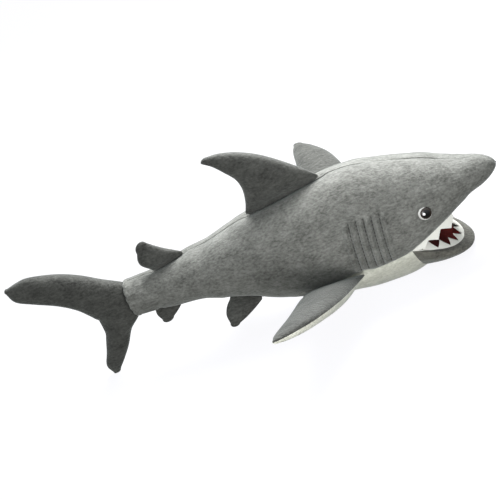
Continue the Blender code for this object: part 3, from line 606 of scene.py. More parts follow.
def stitch_tree():
    """Geometry nodes that lay short round-ended stitches end to end along each curve."""
    tree = bpy.data.node_groups.new("gill_stitches", "GeometryNodeTree")
    tree.interface.new_socket("Geometry", in_out="INPUT", socket_type="NodeSocketGeometry")
    tree.interface.new_socket("Pitch", in_out="INPUT", socket_type="NodeSocketFloat")
    tree.interface.new_socket("Stitch length", in_out="INPUT", socket_type="NodeSocketFloat")
    tree.interface.new_socket("Radius", in_out="INPUT", socket_type="NodeSocketFloat")
    tree.interface.new_socket("Thread", in_out="INPUT", socket_type="NodeSocketMaterial")
    tree.interface.new_socket("Geometry", in_out="OUTPUT", socket_type="NodeSocketGeometry")
    nodes, links = tree.nodes, tree.links
    entry, leave = nodes.new("NodeGroupInput"), nodes.new("NodeGroupOutput")
    spaced = nodes.new("GeometryNodeCurveToPoints")
    spaced.mode = "LENGTH"
    links.new(entry.outputs["Geometry"], spaced.inputs["Curve"])
    links.new(entry.outputs["Pitch"], spaced.inputs["Length"])
    bead = nodes.new("GeometryNodeMeshUVSphere")
    bead.inputs["Segments"].default_value = 8
    bead.inputs["Rings"].default_value = 5
    links.new(entry.outputs["Radius"], bead.inputs["Radius"])
    ratio = nodes.new("ShaderNodeMath")
    ratio.operation = "DIVIDE"
    links.new(entry.outputs["Stitch length"], ratio.inputs[0])
    links.new(entry.outputs["Radius"], ratio.inputs[1])
    half = nodes.new("ShaderNodeMath")
    half.operation = "MULTIPLY"
    half.inputs[1].default_value = 0.5
    links.new(ratio.outputs[0], half.inputs[0])
    stretch = nodes.new("ShaderNodeCombineXYZ")
    stretch.inputs["X"].default_value = 1.0
    stretch.inputs["Y"].default_value = 1.0
    links.new(half.outputs[0], stretch.inputs["Z"])
    place = nodes.new("GeometryNodeInstanceOnPoints")
    links.new(spaced.outputs["Points"], place.inputs["Points"])
    links.new(bead.outputs["Mesh"], place.inputs["Instance"])
    links.new(spaced.outputs["Rotation"], place.inputs["Rotation"])
    links.new(stretch.outputs["Vector"], place.inputs["Scale"])
    real = nodes.new("GeometryNodeRealizeInstances")
    links.new(place.outputs["Instances"], real.inputs["Geometry"])
    finish = nodes.new("GeometryNodeSetMaterial")
    links.new(real.outputs["Geometry"], finish.inputs["Geometry"])
    links.new(entry.outputs["Thread"], finish.inputs["Material"])
    links.new(finish.outputs["Geometry"], leave.inputs["Geometry"])
    return tree


STITCH_TREE = stitch_tree()


def gill_line(number, side, points_per_line=24):
    line = []
    for index in range(points_per_line):
        share = index / (points_per_line - 1)
        angle = math.asin(mix(GILL_TOP_SINE, GILL_BOTTOM_SINE, share))
        x = x_at(GILL_FIRST_AT) + number * GILL_PITCH - GILL_LEAN * share
        point = trunk_point(x, angle, side)
        ahead, above = trunk_point(x + 0.001, angle, side), trunk_point(x, angle + 0.01, side)
        normal = (ahead - point).cross(above - point).normalized() * -side
        line.append(point - normal * GILL_SINK)
    return line


def make_gill_stitches(tag, side):
    curve = bpy.data.curves.new(f"gill_stitches_{tag}", "CURVE")
    curve.dimensions = "3D"
    for number in range(GILLS_PER_SIDE):
        line = gill_line(number, side)
        spline = curve.splines.new("POLY")
        spline.points.add(len(line) - 1)
        for spot, point in zip(spline.points, line):
            spot.co = (*point, 1.0)
    guide = bpy.data.objects.new(f"gill_guide_{tag}", curve)
    bpy.context.scene.collection.objects.link(guide)
    modifier = guide.modifiers.new("Stitches", "NODES")
    modifier.node_group = STITCH_TREE
    set_input(modifier, STITCH_TREE, "Pitch", STITCH_LENGTH + STITCH_GAP)
    set_input(modifier, STITCH_TREE, "Stitch length", STITCH_LENGTH)
    set_input(modifier, STITCH_TREE, "Radius", STITCH_RADIUS)
    set_input(modifier, STITCH_TREE, "Thread", DARK_THREAD)
    bpy.context.view_layer.update()
    graph = bpy.context.evaluated_depsgraph_get()
    mesh = bpy.data.meshes.new_from_object(guide.evaluated_get(graph))
    bpy.data.objects.remove(guide)
    piece = bpy.data.objects.new(f"gill_stitches_{tag}", mesh)
    bpy.context.scene.collection.objects.link(piece)
    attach(piece, "trunk")
    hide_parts(*[f"gill_tuck_{tag}_{number + 1}" for number in range(GILLS_PER_SIDE)])


make_gill_stitches("right", -1)
make_gill_stitches("left", 1)


# ---------------------------------------------------------------------------------------------
# Mouth roof. Red felt lines the upper jaw, and a strip of white felt with three pointed teeth
# is sewn inside each lip, running back to the corner of the mouth.

FELT = 0.0012
PALATE_LIFT = 0.001
PALATE_ARCH = 0.004
PALATE_ROWS = 26
PALATE_COLUMNS = 22
LINING_INSET = 0.0040
UPPER_TEETH = 3
UPPER_TEETH_INSET = 0.0026
UPPER_TOOTH_LENGTH = 0.0120
UPPER_TEETH_FROM = 0.0040
UPPER_TEETH_TO = 0.0560
UPPER_BAND = 0.0038
UPPER_TOOTH_LEAN = 0.15
UPPER_TEETH_GROW = 0.036
UPPER_TEETH_LEAD = 4
SMALLEST_TOOTH = 0.6
TOOTH_STEPS = 8
TOOTH_ROWS = 5


def felt(name, deep, bright):
    """Pressed felt: matted short fibres, almost even in colour and without shine."""
    material = bpy.data.materials.new(name)
    material.use_nodes = True
    nodes, links = material.node_tree.nodes, material.node_tree.links
    shader = nodes["Principled BSDF"]
    place = nodes.new("ShaderNodeTexCoord")
    fibres = nodes.new("ShaderNodeTexNoise")
    fibres.inputs["Scale"].default_value = 900.0
    fibres.inputs["Detail"].default_value = 4.0
    fibres.inputs["Distortion"].default_value = 1.2
    links.new(place.outputs["Object"], fibres.inputs["Vector"])
    shade = nodes.new("ShaderNodeValToRGB")
    shade.color_ramp.elements[0].position = 0.30
    shade.color_ramp.elements[0].color = (*deep, 1.0)
    shade.color_ramp.elements[1].position = 0.70
    shade.color_ramp.elements[1].color = (*bright, 1.0)
    links.new(fibres.outputs["Fac"], shade.inputs["Fac"])
    links.new(shade.outputs["Color"], shader.inputs["Base Color"])
    nap = nodes.new("ShaderNodeBump")
    nap.inputs["Strength"].default_value = 0.35
    nap.inputs["Distance"].default_value = 0.0004
    links.new(fibres.outputs["Fac"], nap.inputs["Height"])
    links.new(nap.outputs["Normal"], shader.inputs["Normal"])
    shader.inputs["Roughness"].default_value = 0.92
    shader.inputs["Specular IOR Level"].default_value = 0.15
    shader.inputs["Sheen Weight"].default_value = 0.15
    return material


RED_FELT = felt("red_felt", (0.060, 0.004, 0.002), (0.200, 0.010, 0.006))
WHITE_FELT = felt("white_felt", (0.900, 0.900, 0.830), (0.960, 0.960, 0.900))


def lip_half_width(x):
    return section(x)[2] * math.cos(lip_angle(x))


def make_palate_lining():
    first = MOUTH_X + FELT
    last = LIP_FRONT_X - PALATE_ARCH
    points = []
    for row in range(PALATE_ROWS + 1):
        x = mix(first, last, math.sin(math.pi / 2 * row / PALATE_ROWS))
        reach = max(lip_half_width(x) - LINING_INSET, 0.003)
        for column in range(PALATE_COLUMNS + 1):
            across = mix(-1.0, 1.0, column / PALATE_COLUMNS)
            arch = PALATE_LIFT + PALATE_ARCH * (1 - across * across)
            points.append(Vector((x, across * reach, lip_height(x) + arch)))
    faces = grid_faces(PALATE_ROWS + 1, PALATE_COLUMNS + 1)
    piece = mesh_piece("palate_lining_felt", points, faces, [RED_FELT])
    if piece.data.polygons[0].normal.z > 0:
        piece.data.flip_normals()
    give_thickness(piece, FELT)
    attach(piece, "trunk")
    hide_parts("palate_lining")


def tooth_edge(place, count):
    """Height share of a zigzag edge, 0 in the notches and 1 at the points, with hollowed sides."""
    share = abs(2 * ((place * count) % 1.0) - 1)
    return (1 - share) ** 1.12


def make_tooth_strip(name, roots, edges):
    """White felt between a sewn edge and a cut zigzag edge, both given point by point."""
    grid = []
    for root, edge in zip(roots, edges):
        grid.append([root.lerp(edge, row / (TOOTH_ROWS - 1)) for row in range(TOOTH_ROWS)])
    points = [point for line in grid for point in line]
    piece = mesh_piece(name, points, grid_faces(len(grid), TOOTH_ROWS), [WHITE_FELT])
    return piece


def thicken_felt(piece):
    wall = piece.modifiers.new("Felt", "SOLIDIFY")
    wall.thickness = FELT
    wall.offset = 0.0
    rounding = piece.modifiers.new("Cut edge", "BEVEL")
    rounding.width = 0.00025
    rounding.segments = 2
    rounding.limit_method = "ANGLE"
    bake_modifiers(piece)
    piece.data.shade_smooth()


def make_upper_teeth(tag, side):
    count = UPPER_TEETH * TOOTH_STEPS * 2
    roots, edges = [], []
    for index in range(-UPPER_TEETH_LEAD, count + 1):
        place = index / count
        x = MOUTH_X + max(mix(UPPER_TEETH_FROM, UPPER_TEETH_TO, place), 0.0002)
        point = tooth_edge(place, UPPER_TEETH) if place > 0 else 0.0
        from_corner = smooth_step(0.0, UPPER_TEETH_GROW, x - MOUTH_X)
        drop = mix(UPPER_BAND, UPPER_TOOTH_LENGTH * mix(SMALLEST_TOOTH, 1.0, from_corner), point)
        drop *= mix(0.3, 1.0, smooth_step(0.0, UPPER_TEETH_FROM, x - MOUTH_X))
        root = Vector((x, side * (lip_half_width(x) - UPPER_TEETH_INSET), lip_height(x) + PALATE_LIFT))
        lean = Vector((UPPER_TOOTH_LEAN * point, -side * 0.05, 0.0)) * drop
        roots.append(root)
        edges.append(root + lean - Vector((0.0, 0.0, PALATE_LIFT + drop)))
    piece = make_tooth_strip(f"upper_teeth_felt_{tag}", roots, edges)
    thicken_felt(piece)
    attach(piece, "trunk")
    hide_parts(f"upper_teeth_{tag}")


make_palate_lining()
make_upper_teeth("right", -1)
make_upper_teeth("left", 1)


# ---------------------------------------------------------------------------------------------
# Lower jaw. A padded grey lip is rolled round the front of a stuffed scoop. It bends down at
# the corners of the mouth. Its plush is the body's grey made darker and browner, painted
# shade. Red felt lines it, and a white felt band with eight teeth stands inside the lip.

JAW_LENGTH = 0.0580
JAW_SIDE_BULGE = 0.0030
JAW_PLAN_POWER = 2.2
JAW_FRONT_LIP = 0.0088
JAW_FRONT_SQUARE = 0.35
JAW_HINGE_GAP = 0.0006
JAW_FLOOR_GAP = 0.0025
JAW_ROLL = 0.13
JAW_CORNER_REACH = 0.018
JAW_CORNER_ROLL = 0.25
JAW_INNER_DROP = 0.30
JAW_INSET = 0.0006
JAW_HALF_WIDTH = MOUTH_HALF_WIDTH * math.cos(lip_angle(MOUTH_X)) - JAW_INSET
JAW_TURNS = 72
JAW_PROFILE = 26
JAW_ROLL_START = math.radians(190.0)
JAW_UNDER_ROWS = 8
JAW_LINING_RING = 0.80
JAW_LINING_DEPTH = 0.0035
JAW_LINING_BOWL = 0.0080
JAW_LINING_RINGS = 9
LOWER_TEETH = 8
LOWER_TEETH_RING = 0.835
LOWER_TEETH_SEAT = 0.0010
LOWER_TEETH_SPREAD = math.radians(81.0)
LOWER_TEETH_END = math.radians(89.8)
LOWER_TOOTH_LEAN = 0.0085
LOWER_TOOTH_RISE = 0.0100
LOWER_BAND = 0.0022
LOWER_TEETH_CORNER_RING = 0.96
LOWER_TEETH_GROW = 0.020
CORNER_TOOTH = 0.35
# Jaw grey: the body's grey plush made darker and browner, painted shade.
JAW_PAINTED_SHADE_PLUSH = plush("jaw_painted_shade_plush", (0.050, 0.048, 0.039), (0.185, 0.181, 0.155))


def throat_share(height):
    """Half-width of the round throat at a height, as a share of its widest."""
    sine = (MOUTH_BACK + MOUTH_UNDER - 2 * height) / (MOUTH_BACK - MOUTH_UNDER)
    return math.sqrt(1 - min(max(sine, 0.0), 1.0) ** 2)


def jaw_point(turn, ring, height_share, drop=0.0):
    """A point of the jaw: ring 1 is its outer edge, height_share 1 the lip and 0 the underside."""
    power = 2 / JAW_PLAN_POWER
    forward = JAW_LENGTH * abs(math.cos(turn)) ** power * ring
    across = JAW_HALF_WIDTH * math.copysign(abs(math.sin(turn)) ** power, turn) * ring
    dip = (HINGE_Z - JAW_HINGE_GAP - JAW_FRONT_LIP) * forward / JAW_LENGTH
    lip = HINGE_Z - JAW_HINGE_GAP - dip
    height = mix(JAW_FLOOR_GAP, lip - drop, height_share)
    narrow = min(throat_share(height) / throat_share(lip), 1.0)
    across *= mix(narrow, 1.0, JAW_FRONT_SQUARE * forward / JAW_LENGTH)
    across *= 1 + JAW_SIDE_BULGE / JAW_HALF_WIDTH * smooth_step(0.0, JAW_CORNER_REACH, forward)
    return Vector((MOUTH_X + JAW_HINGE_GAP + forward, across, height))


def from_jaw_corner(turn):
    """0 where the jaw meets the throat, 1 where its lip has its full roll."""
    return smooth_step(0.0, JAW_CORNER_REACH, jaw_point(turn, 1.0, 1.0).x - MOUTH_X - JAW_HINGE_GAP)


def jaw_profile(turn):
    points = []
    roll = JAW_ROLL * mix(JAW_CORNER_ROLL, 1.0, from_jaw_corner(turn))
    for step in range(JAW_PROFILE + 1):
        angle = mix(JAW_ROLL_START, -math.pi / 2, step / JAW_PROFILE)
        ring = 1 - roll + roll * math.cos(angle)
        share = 0.5 + 0.5 * math.sin(angle)
        if angle > math.pi / 2:
            share = 1 - JAW_INNER_DROP * (1 - math.sin(angle))
        points.append(jaw_point(turn, ring, share))
    for step in range(1, JAW_UNDER_ROWS + 1):
        points.append(jaw_point(turn, (1 - roll) * (1 - step / JAW_UNDER_ROWS), 0.0))
    return points


def jaw_turns():
    return [mix(-math.pi / 2, math.pi / 2, index / JAW_TURNS) for index in range(JAW_TURNS + 1)]


TUCK_STEPS = 4
TUCK_LENGTH = 0.0070
TUCK_INSET = 0.0024


def bend_with_jaw(piece):
    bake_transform(piece)


def tucked_behind(line, steps):
    """Rows that carry an edge of the jaw back inside the throat's skin."""
    centre = Vector((0.0, 0.0, HINGE_Z))
    rows = []
    for step in range(1, steps + 1):
        share = step / steps
        row = []
        for point in line:
            inward = Vector((0.0, centre.y - point.y, centre.z - point.z))
            inward = inward.normalized() * min(TUCK_INSET * share ** 0.5, inward.length)
            row.append(point + inward - Vector((TUCK_LENGTH * share, 0.0, 0.0)))
        rows.append(row)
    return rows


def make_jaw_skin():
    rows = [jaw_profile(turn) for turn in jaw_turns()]
    rows = tucked_behind(rows[0], TUCK_STEPS)[::-1] + rows + tucked_behind(rows[-1], TUCK_STEPS)
    grid = np.array([[list(point) for point in row] for row in rows])
    normals = grid_normals(grid)
    outward = ((grid - np.array([MOUTH_X, 0.0, HINGE_Z])) * normals).sum()
    if outward < 0:
        normals = -normals
    steady = smooth_step(0.0, 0.004, grid[..., 2])
    grid = grid + normals * (0.8 * body_lumps(grid, 9.0) * steady)[..., None]
    count, columns = grid.shape[:2]
    piece = mesh_piece("jaw_skin", grid.reshape(-1, 3), grid_faces(count, columns), [JAW_PAINTED_SHADE_PLUSH])
    recalculate_normals(piece)
    lowest = min(piece.data.polygons, key=lambda face: face.center.z)
    if lowest.normal.z > 0:
        piece.data.flip_normals()
    give_thickness(piece, PLUSH_THICKNESS)
    bend_with_jaw(piece)
    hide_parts("jaw_panel", "jaw_filling")


def make_jaw_lining():
    points = []
    rings = [index / JAW_LINING_RINGS * JAW_LINING_RING for index in range(JAW_LINING_RINGS + 1)]
    for turn in jaw_turns():
        for ring in rings:
            deeper = JAW_LINING_BOWL * (1 - (ring / JAW_LINING_RING) ** 2)
            points.append(jaw_point(turn, ring, 1.0, JAW_LINING_DEPTH + deeper))
    piece = mesh_piece("jaw_lining_felt", points, grid_faces(JAW_TURNS + 1, len(rings)), [RED_FELT])
    if sum(face.normal.z for face in piece.data.polygons) < 0:
        piece.data.flip_normals()
    give_thickness(piece, FELT)
    bend_with_jaw(piece)
    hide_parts("jaw_lining")


FOLD_ROWS = 8
FOLD_COLUMNS = 24
FOLD_INSET = 0.010
FOLD_START = 0.0016
FOLD_SLACK = 0.0045


def make_mouth_fold():
    """Red felt that joins the mouth's roof and floor at the back, with slack for the jaw to open."""
    rows = []
    half = JAW_HALF_WIDTH - FOLD_INSET
    for step in range(FOLD_ROWS + 1):
        share = step / FOLD_ROWS
        row = []
        for column in range(FOLD_COLUMNS + 1):
            across = mix(-1.0, 1.0, column / FOLD_COLUMNS)
            top = HINGE_Z + PALATE_LIFT + PALATE_ARCH * (1 - across * across)
            low = HINGE_Z - JAW_LINING_DEPTH - JAW_LINING_BOWL * (1 - across * across)
            back = FOLD_SLACK * math.sin(math.pi * share)
            row.append(Vector((MOUTH_X + FOLD_START - back, across * half, mix(top, low, share))))
        rows.append(row)
    points = [point for row in rows for point in row]
    piece = mesh_piece("mouth_fold_felt", points, grid_faces(len(rows), FOLD_COLUMNS + 1), [RED_FELT])
    if sum(face.normal.x for face in piece.data.polygons) < 0:
        piece.data.flip_normals()
    give_thickness(piece, FELT)
    bend_with_jaw(piece)


def make_lower_teeth():
    """The felt is sewn inside the lip and its points stand up and lean in over the mouth's floor."""
    count = LOWER_TEETH * TOOTH_STEPS * 2
    lead = TOOTH_STEPS
    roots = []
    for index in range(-lead, count + lead + 1):
        turn = mix(-1.0, 1.0, index / count) * LOWER_TEETH_SPREAD
        turn = min(max(turn, -LOWER_TEETH_END), LOWER_TEETH_END)
        ring = mix(LOWER_TEETH_CORNER_RING, LOWER_TEETH_RING, from_jaw_corner(turn))
        roots.append(jaw_point(turn, ring, 1.0, LOWER_TEETH_SEAT))
    edges = []
    for index, root in enumerate(roots):
        place = (index - lead) / count
        along = roots[min(index + 1, len(roots) - 1)] - roots[max(index - 1, 0)]
        inward = Vector((-along.y, along.x, 0.0)).normalized()
        from_corner = smooth_step(0.0, LOWER_TEETH_GROW, root.x - MOUTH_X)
        point = tooth_edge(place, LOWER_TEETH) * mix(CORNER_TOOTH, 1.0, from_corner)
        stand = mix(LOWER_BAND * from_corner, LOWER_TOOTH_RISE, point)
        lean = mix(LOWER_BAND * from_corner, LOWER_TOOTH_LEAN, point)
        edges.append(root + inward * lean + Vector((0.0, 0.0, stand)))
    piece = make_tooth_strip("lower_teeth_felt", roots, edges)
    thicken_felt(piece)
    bend_with_jaw(piece)
    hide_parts("lower_teeth")


make_jaw_skin()
make_jaw_lining()
make_mouth_fold()
make_lower_teeth()


# ---------------------------------------------------------------------------------------------
# Eyes. Glossy safety eyes: a white plastic dome with a dark brown iris and a black pupil set
# towards the nose, closed by a flat back. The stem and lock washer of a safety eye are not drawn.

EYE_RADIUS = 0.0080
EYE_DOME = 0.0046
EYE_SEAT = 0.0004
EYE_SOCKET = 0.0012
EYE_SPOKES = 48
IRIS_RADIUS = 0.0066
PUPIL_RADIUS = 0.0046
IRIS_FORWARD = 0.0015
IRIS_RISE = 0.0004


def eye_plastic(name, color, roughness=0.06):
    """Polished plastic under a clear coat, with the faint waviness of a moulded dome."""
    material = bpy.data.materials.new(name)
    material.use_nodes = True
    nodes, links = material.node_tree.nodes, material.node_tree.links
    shader = nodes["Principled BSDF"]
    shader.inputs["Base Color"].default_value = (*color, 1.0)
    shader.inputs["Coat Weight"].default_value = 1.0
    shader.inputs["Coat Roughness"].default_value = 0.02
    place = nodes.new("ShaderNodeTexCoord")
    wear = nodes.new("ShaderNodeTexNoise")
    wear.inputs["Scale"].default_value = 180.0
    links.new(place.outputs["Object"], wear.inputs["Vector"])
    spread = nodes.new("ShaderNodeMapRange")
    spread.inputs["To Min"].default_value = roughness
    spread.inputs["To Max"].default_value = roughness + 0.10
    links.new(wear.outputs["Fac"], spread.inputs["Value"])
    links.new(spread.outputs["Result"], shader.inputs["Roughness"])
    return material


EYE_PLASTICS = [
    eye_plastic("pupil_black", (0.003, 0.003, 0.003)),
    eye_plastic("iris_brown", (0.030, 0.020, 0.014)),
    eye_plastic("eye_white", (0.800, 0.800, 0.770), 0.12),
]
PUPIL_RINGS = 5
IRIS_RINGS = 4
WHITE_RINGS = 5


def make_eye(tag, side):
    x = x_at(EYE_AT)
    centre = trunk_point(x, EYE_RISE, side)
    ahead = trunk_point(x + 0.001, EYE_RISE, side) - trunk_point(x - 0.001, EYE_RISE, side)
    above = trunk_point(x, EYE_RISE + 0.02, side) - trunk_point(x, EYE_RISE - 0.02, side)
    out = (ahead.cross(above) * -side).normalized()
    forward = ahead.normalized()
    rise = out.cross(forward) * -side
    centre -= out * EYE_SOCKET
    rings = [PUPIL_RADIUS * step / PUPIL_RINGS for step in range(PUPIL_RINGS + 1)]
    rings += [mix(PUPIL_RADIUS, IRIS_RADIUS, step / IRIS_RINGS) for step in range(1, IRIS_RINGS + 1)]
    points = []
    for ring in range(len(rings) + WHITE_RINGS + 1):
        for spoke in range(EYE_SPOKES):
            turn = 2 * math.pi * spoke / EYE_SPOKES
            across = Vector((math.cos(turn), math.sin(turn), 0.0))
            middle = Vector((IRIS_FORWARD, IRIS_RISE, 0.0))
            aside = middle.dot(across)
            reach = math.sqrt(aside**2 + EYE_RADIUS**2 - middle.length_squared) - aside
            if ring < len(rings):
                radius = rings[ring]
            else:
                share = min((ring - len(rings) + 1) / WHITE_RINGS, 1.0)
                radius = mix(IRIS_RADIUS, reach, math.sin(share * math.pi / 2))
            spot = middle + across * radius
            height = EYE_DOME * math.sqrt(max(1 - (spot.length / EYE_RADIUS) ** 2, 0.0))
            if ring == len(rings) + WHITE_RINGS:
                spot, height = spot * 0.9, -EYE_SEAT
            points.append(centre + forward * spot.x + rise * spot.y + out * (EYE_SEAT + height))
    ring_count = len(rings) + WHITE_RINGS + 1
    faces = grid_faces(ring_count, EYE_SPOKES, around=True)
    faces.append(tuple((ring_count - 1) * EYE_SPOKES + spoke for spoke in range(EYE_SPOKES)))
    piece = mesh_piece(f"eye_dome_{tag}", points, faces, EYE_PLASTICS)
    shape = bmesh.new()
    shape.from_mesh(piece.data)
    bmesh.ops.recalc_face_normals(shape, faces=shape.faces)
    iris_centre = centre + forward * IRIS_FORWARD + rise * IRIS_RISE
    for face in shape.faces:
        off = face.calc_center_median() - iris_centre
        reach = (off - out * off.dot(out)).length
        face.material_index = 0 if reach < PUPIL_RADIUS else 1 if reach < IRIS_RADIUS else 2
        if len(face.verts) > 4:
            face.material_index = 2
    shape.to_mesh(piece.data)
    shape.free()
    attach(piece, "trunk")
    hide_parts(f"eye_{tag}")


make_eye("right", -1)
make_eye("left", 1)


# ---------------------------------------------------------------------------------------------
# Fins. Each is two plush pieces sewn face to face round the edge, turned, stuffed thin and
# sewn to the body along its root. The chest fins are grey above and cream below; the fins'
# grey is the body's plush made darker, painted shade.

# Fin grey: the body's grey plush made much darker, painted shade for the weak light on the fins.
FIN_PAINTED_SHADE_PLUSH = plush("fin_painted_shade_plush", (0.026, 0.026, 0.023), (0.098, 0.100, 0.091))
FIN_POWER = 2.3
FIN_COLUMNS = 14
FIN_ROWS = 30
ROOT_SINK = 0.0055
TIP_ROWS = 5
FIN_GAP = 0.0022
PECTORAL_GAP = 0.0040
BULGE_STEPS = 8
SEWN_EDGE = 0.00005
SIM_FRAMES = 20
# Leading edge back and up, trailing edge back and up, as shares of base and height; then thickness
DORSAL_ROWS = (
    (0.000, 0.000, 1.000, 0.000, 0.30), (0.100, 0.175, 0.915, 0.148, 0.90),
    (0.255, 0.420, 0.845, 0.336, 1.00), (0.430, 0.655, 0.835, 0.514, 0.90),
    (0.618, 0.832, 0.900, 0.693, 0.75), (0.809, 0.945, 0.965, 0.836, 0.55),
    (0.965, 0.990, 1.040, 0.930, 0.30),
)
SECOND_ROWS = (
    (0.000, 0.000, 1.000, 0.000, 0.40), (0.170, 0.200, 1.080, 0.150, 0.90),
    (0.330, 0.400, 1.150, 0.330, 1.00), (0.480, 0.640, 1.130, 0.520, 0.85),
    (0.620, 0.900, 1.020, 0.740, 0.55),
)
PECTORAL_ROWS = (
    (0.000, 0.000, 1.000, 0.000, 0.20), (0.000, 0.120, 0.935, 0.120, 0.55),
    (0.008, 0.280, 0.870, 0.300, 1.00), (0.040, 0.460, 0.815, 0.500, 1.00),
    (0.125, 0.630, 0.790, 0.690, 0.85), (0.260, 0.790, 0.790, 0.840, 0.70),
    (0.445, 0.910, 0.785, 0.940, 0.50), (0.595, 0.980, 0.750, 0.990, 0.28),
)
PELVIC_ROWS = (
    (0.000, 0.000, 1.000, 0.000, 0.45), (0.180, 0.300, 1.080, 0.300, 0.90),
    (0.420, 0.650, 1.080, 0.650, 1.00), (0.650, 0.930, 0.950, 0.970, 0.50),
)
ANAL_ROWS = (
    (0.000, 0.000, 1.000, 0.000, 0.55), (0.200, 0.450, 1.000, 0.450, 1.00),
    (0.450, 0.920, 0.900, 0.980, 0.60),
)


class FinRoot:
    """Where a fin is sewn on: the front of its root, the ways back, up and out of its face."""

    def __init__(self, front, back, up, base, height, thickness):
        self.front = front
        self.back = back.normalized()
        self.up = (up - up.dot(self.back) * self.back).normalized()
        self.face = self.back.cross(self.up)
        self.base = base
        self.height = height
        self.thickness = thickness
        self.under = 1

    def point(self, back, up, out):
        return self.front + self.back * back + self.up * up + self.face * out


def ridge_root(size, angle, up):
    front_at, base, height, thickness = size
    front, rear = root_line(size, (angle, angle), 1)
    front.y = rear.y = 0.0
    above = Vector((0.0, 0.0, up))
    return FinRoot(front + above * FIN_GAP, rear - front, above, base, height, thickness)


def flank_root(size, angles, lift, gap, side):
    front_at, base, height, thickness = size
    front, rear = root_line(size, angles, side)
    out = Vector((0.0, side * math.cos(lift), math.sin(lift)))
    bulge = 0.0
    for step in range(BULGE_STEPS + 1):
        share = step / BULGE_STEPS
        flank = trunk_point(x_at(front_at) - base * share, mix(*angles, share), side)
        bulge = max(bulge, (flank - (front + (rear - front) * share)).dot(out))
    return FinRoot(front + out * (gap + bulge), rear - front, out, (rear - front).length, height, thickness)


def fin_outline(root, rows, count, sink):
    """Smooth rows up the fin in metres: leading and trailing edge, and half the thickness."""
    table = [(index / (len(rows) - 1), *row) for index, row in enumerate(rows)]
    smooth = []
    for index in range(count + 1):
        row = along_rows(table, index / count)
        smooth.append((
            row[0] * root.base, row[1] * root.height, row[2] * root.base, row[3] * root.height,
            row[4] * root.thickness,
        ))
    if sink:
        first = smooth[0]
        smooth.insert(0, (first[0], -sink, first[2], -sink, first[4] * 0.9))
    return smooth


def rounded_tip(outline, from_end):
    """Extra rows that draw the last chord together in a round end."""
    last, before = np.array(outline[-1]), np.array(outline[-2])
    if from_end:
        last, before = np.array(outline[0]), np.array(outline[1])
    centre, centre_before = (last[:2] + last[2:4]) / 2, (before[:2] + before[2:4]) / 2
    half_chord = (last[2:4] - last[:2]) / 2
    grow = centre - centre_before
    grow = grow / max(np.linalg.norm(grow), 1e-9) * np.linalg.norm(half_chord) * 0.8
    rows = []
    for step in range(1, TIP_ROWS + 1):
        turn = math.pi / 2 * step / TIP_ROWS
        middle = centre + grow * math.sin(turn)
        lead, trail = middle - half_chord * math.cos(turn), middle + half_chord * math.cos(turn)
        rows.append((*lead, *trail, last[4] * math.cos(turn)))
    return rows


def fin_rings(root, outline, columns):
    rings = []
    for lead_back, lead_up, trail_back, trail_up, half in outline:
        ring = []
        for step in range(2 * columns):
            turn = math.pi * step / columns
            share = 0.5 - 0.5 * math.cos(turn)
            lens = (1 - abs(2 * share - 1) ** FIN_POWER) ** (1 / FIN_POWER)
            out = half * lens * (1 if step <= columns else -1)
            ring.append(root.point(mix(lead_back, trail_back, share), mix(lead_up, trail_up, share), out))
        rings.append(ring)
    return rings


def stuff(piece, sewn, travel):
    """Blows the cover up with cloth simulation, as fibre pushed in does, holding what is sewn down."""
    mesh = piece.data
    before = np.array([vertex.co for vertex in mesh.vertices])
    held = piece.vertex_groups.new(name="sewn")
    held.add([vertex.index for vertex in mesh.vertices if sewn(vertex.co)], 1.0, "REPLACE")
    cloth = piece.modifiers.new("Stuffing", "CLOTH")
    cloth.settings.quality = 6
    cloth.settings.mass = 0.15
    cloth.settings.tension_stiffness = 12.0
    cloth.settings.compression_stiffness = 12.0
    cloth.settings.shear_stiffness = 5.0
    cloth.settings.bending_stiffness = 0.4
    cloth.settings.use_pressure = True
    cloth.settings.uniform_pressure_force = 4.0
    cloth.settings.vertex_group_mass = "sewn"
    cloth.settings.effector_weights.gravity = 0.0
    cloth.collision_settings.use_collision = False
    cloth.point_cache.frame_start = 1
    cloth.point_cache.frame_end = SIM_FRAMES
    scene = bpy.context.scene
    for step in range(1, SIM_FRAMES + 1):
        scene.frame_set(step)
    graph = bpy.context.evaluated_depsgraph_get()
    after = np.array([vertex.co for vertex in piece.evaluated_get(graph).data.vertices])
    piece.modifiers.remove(cloth)
    piece.vertex_groups.clear()
    scene.frame_set(1)
    moved = after - before
    length = np.maximum(np.linalg.norm(moved, axis=1, keepdims=True), 1e-9)
    moved *= np.minimum(travel / length, 1.0)
    mesh.vertices.foreach_set("co", (before + moved).ravel())
    mesh.update()


def smooth_once(piece):
    finer = piece.modifiers.new("Smooth", "SUBSURF")
    finer.levels = 1
    finer.render_levels = 1
    bake_modifiers(piece)
    piece.data.shade_smooth()


def fin_piece(name, root, rings, materials):
    """A closed stuffed fin. Faces on the root's far side take the second material, if there is one."""
    count = len(rings[0])
    points = [point for ring in rings for point in ring]
    faces = grid_faces(len(rings), count, around=True)
    faces.append(tuple(range(count))[::-1])
    faces.append(tuple((len(rings) - 1) * count + index for index in range(count)))
    piece = mesh_piece(name, points, faces, materials)
    shape = bmesh.new()
    shape.from_mesh(piece.data)
    bmesh.ops.recalc_face_normals(shape, faces=shape.faces)
    if len(materials) > 1:
        for face in shape.faces:
            off = face.calc_center_median() - root.front
            face.material_index = int(off.dot(root.face) * root.under > 0)
    shape.to_mesh(piece.data)
    shape.free()
    return piece


def finish_fin(piece, root, nodes, travel):
    def sewn(point):
        off = point - root.front
        return abs(off.dot(root.face)) < SEWN_EDGE or off.dot(root.up) < 0.002

    stuff(piece, sewn, travel)
    smooth_once(piece)
    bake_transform(piece)
    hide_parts(*nodes)


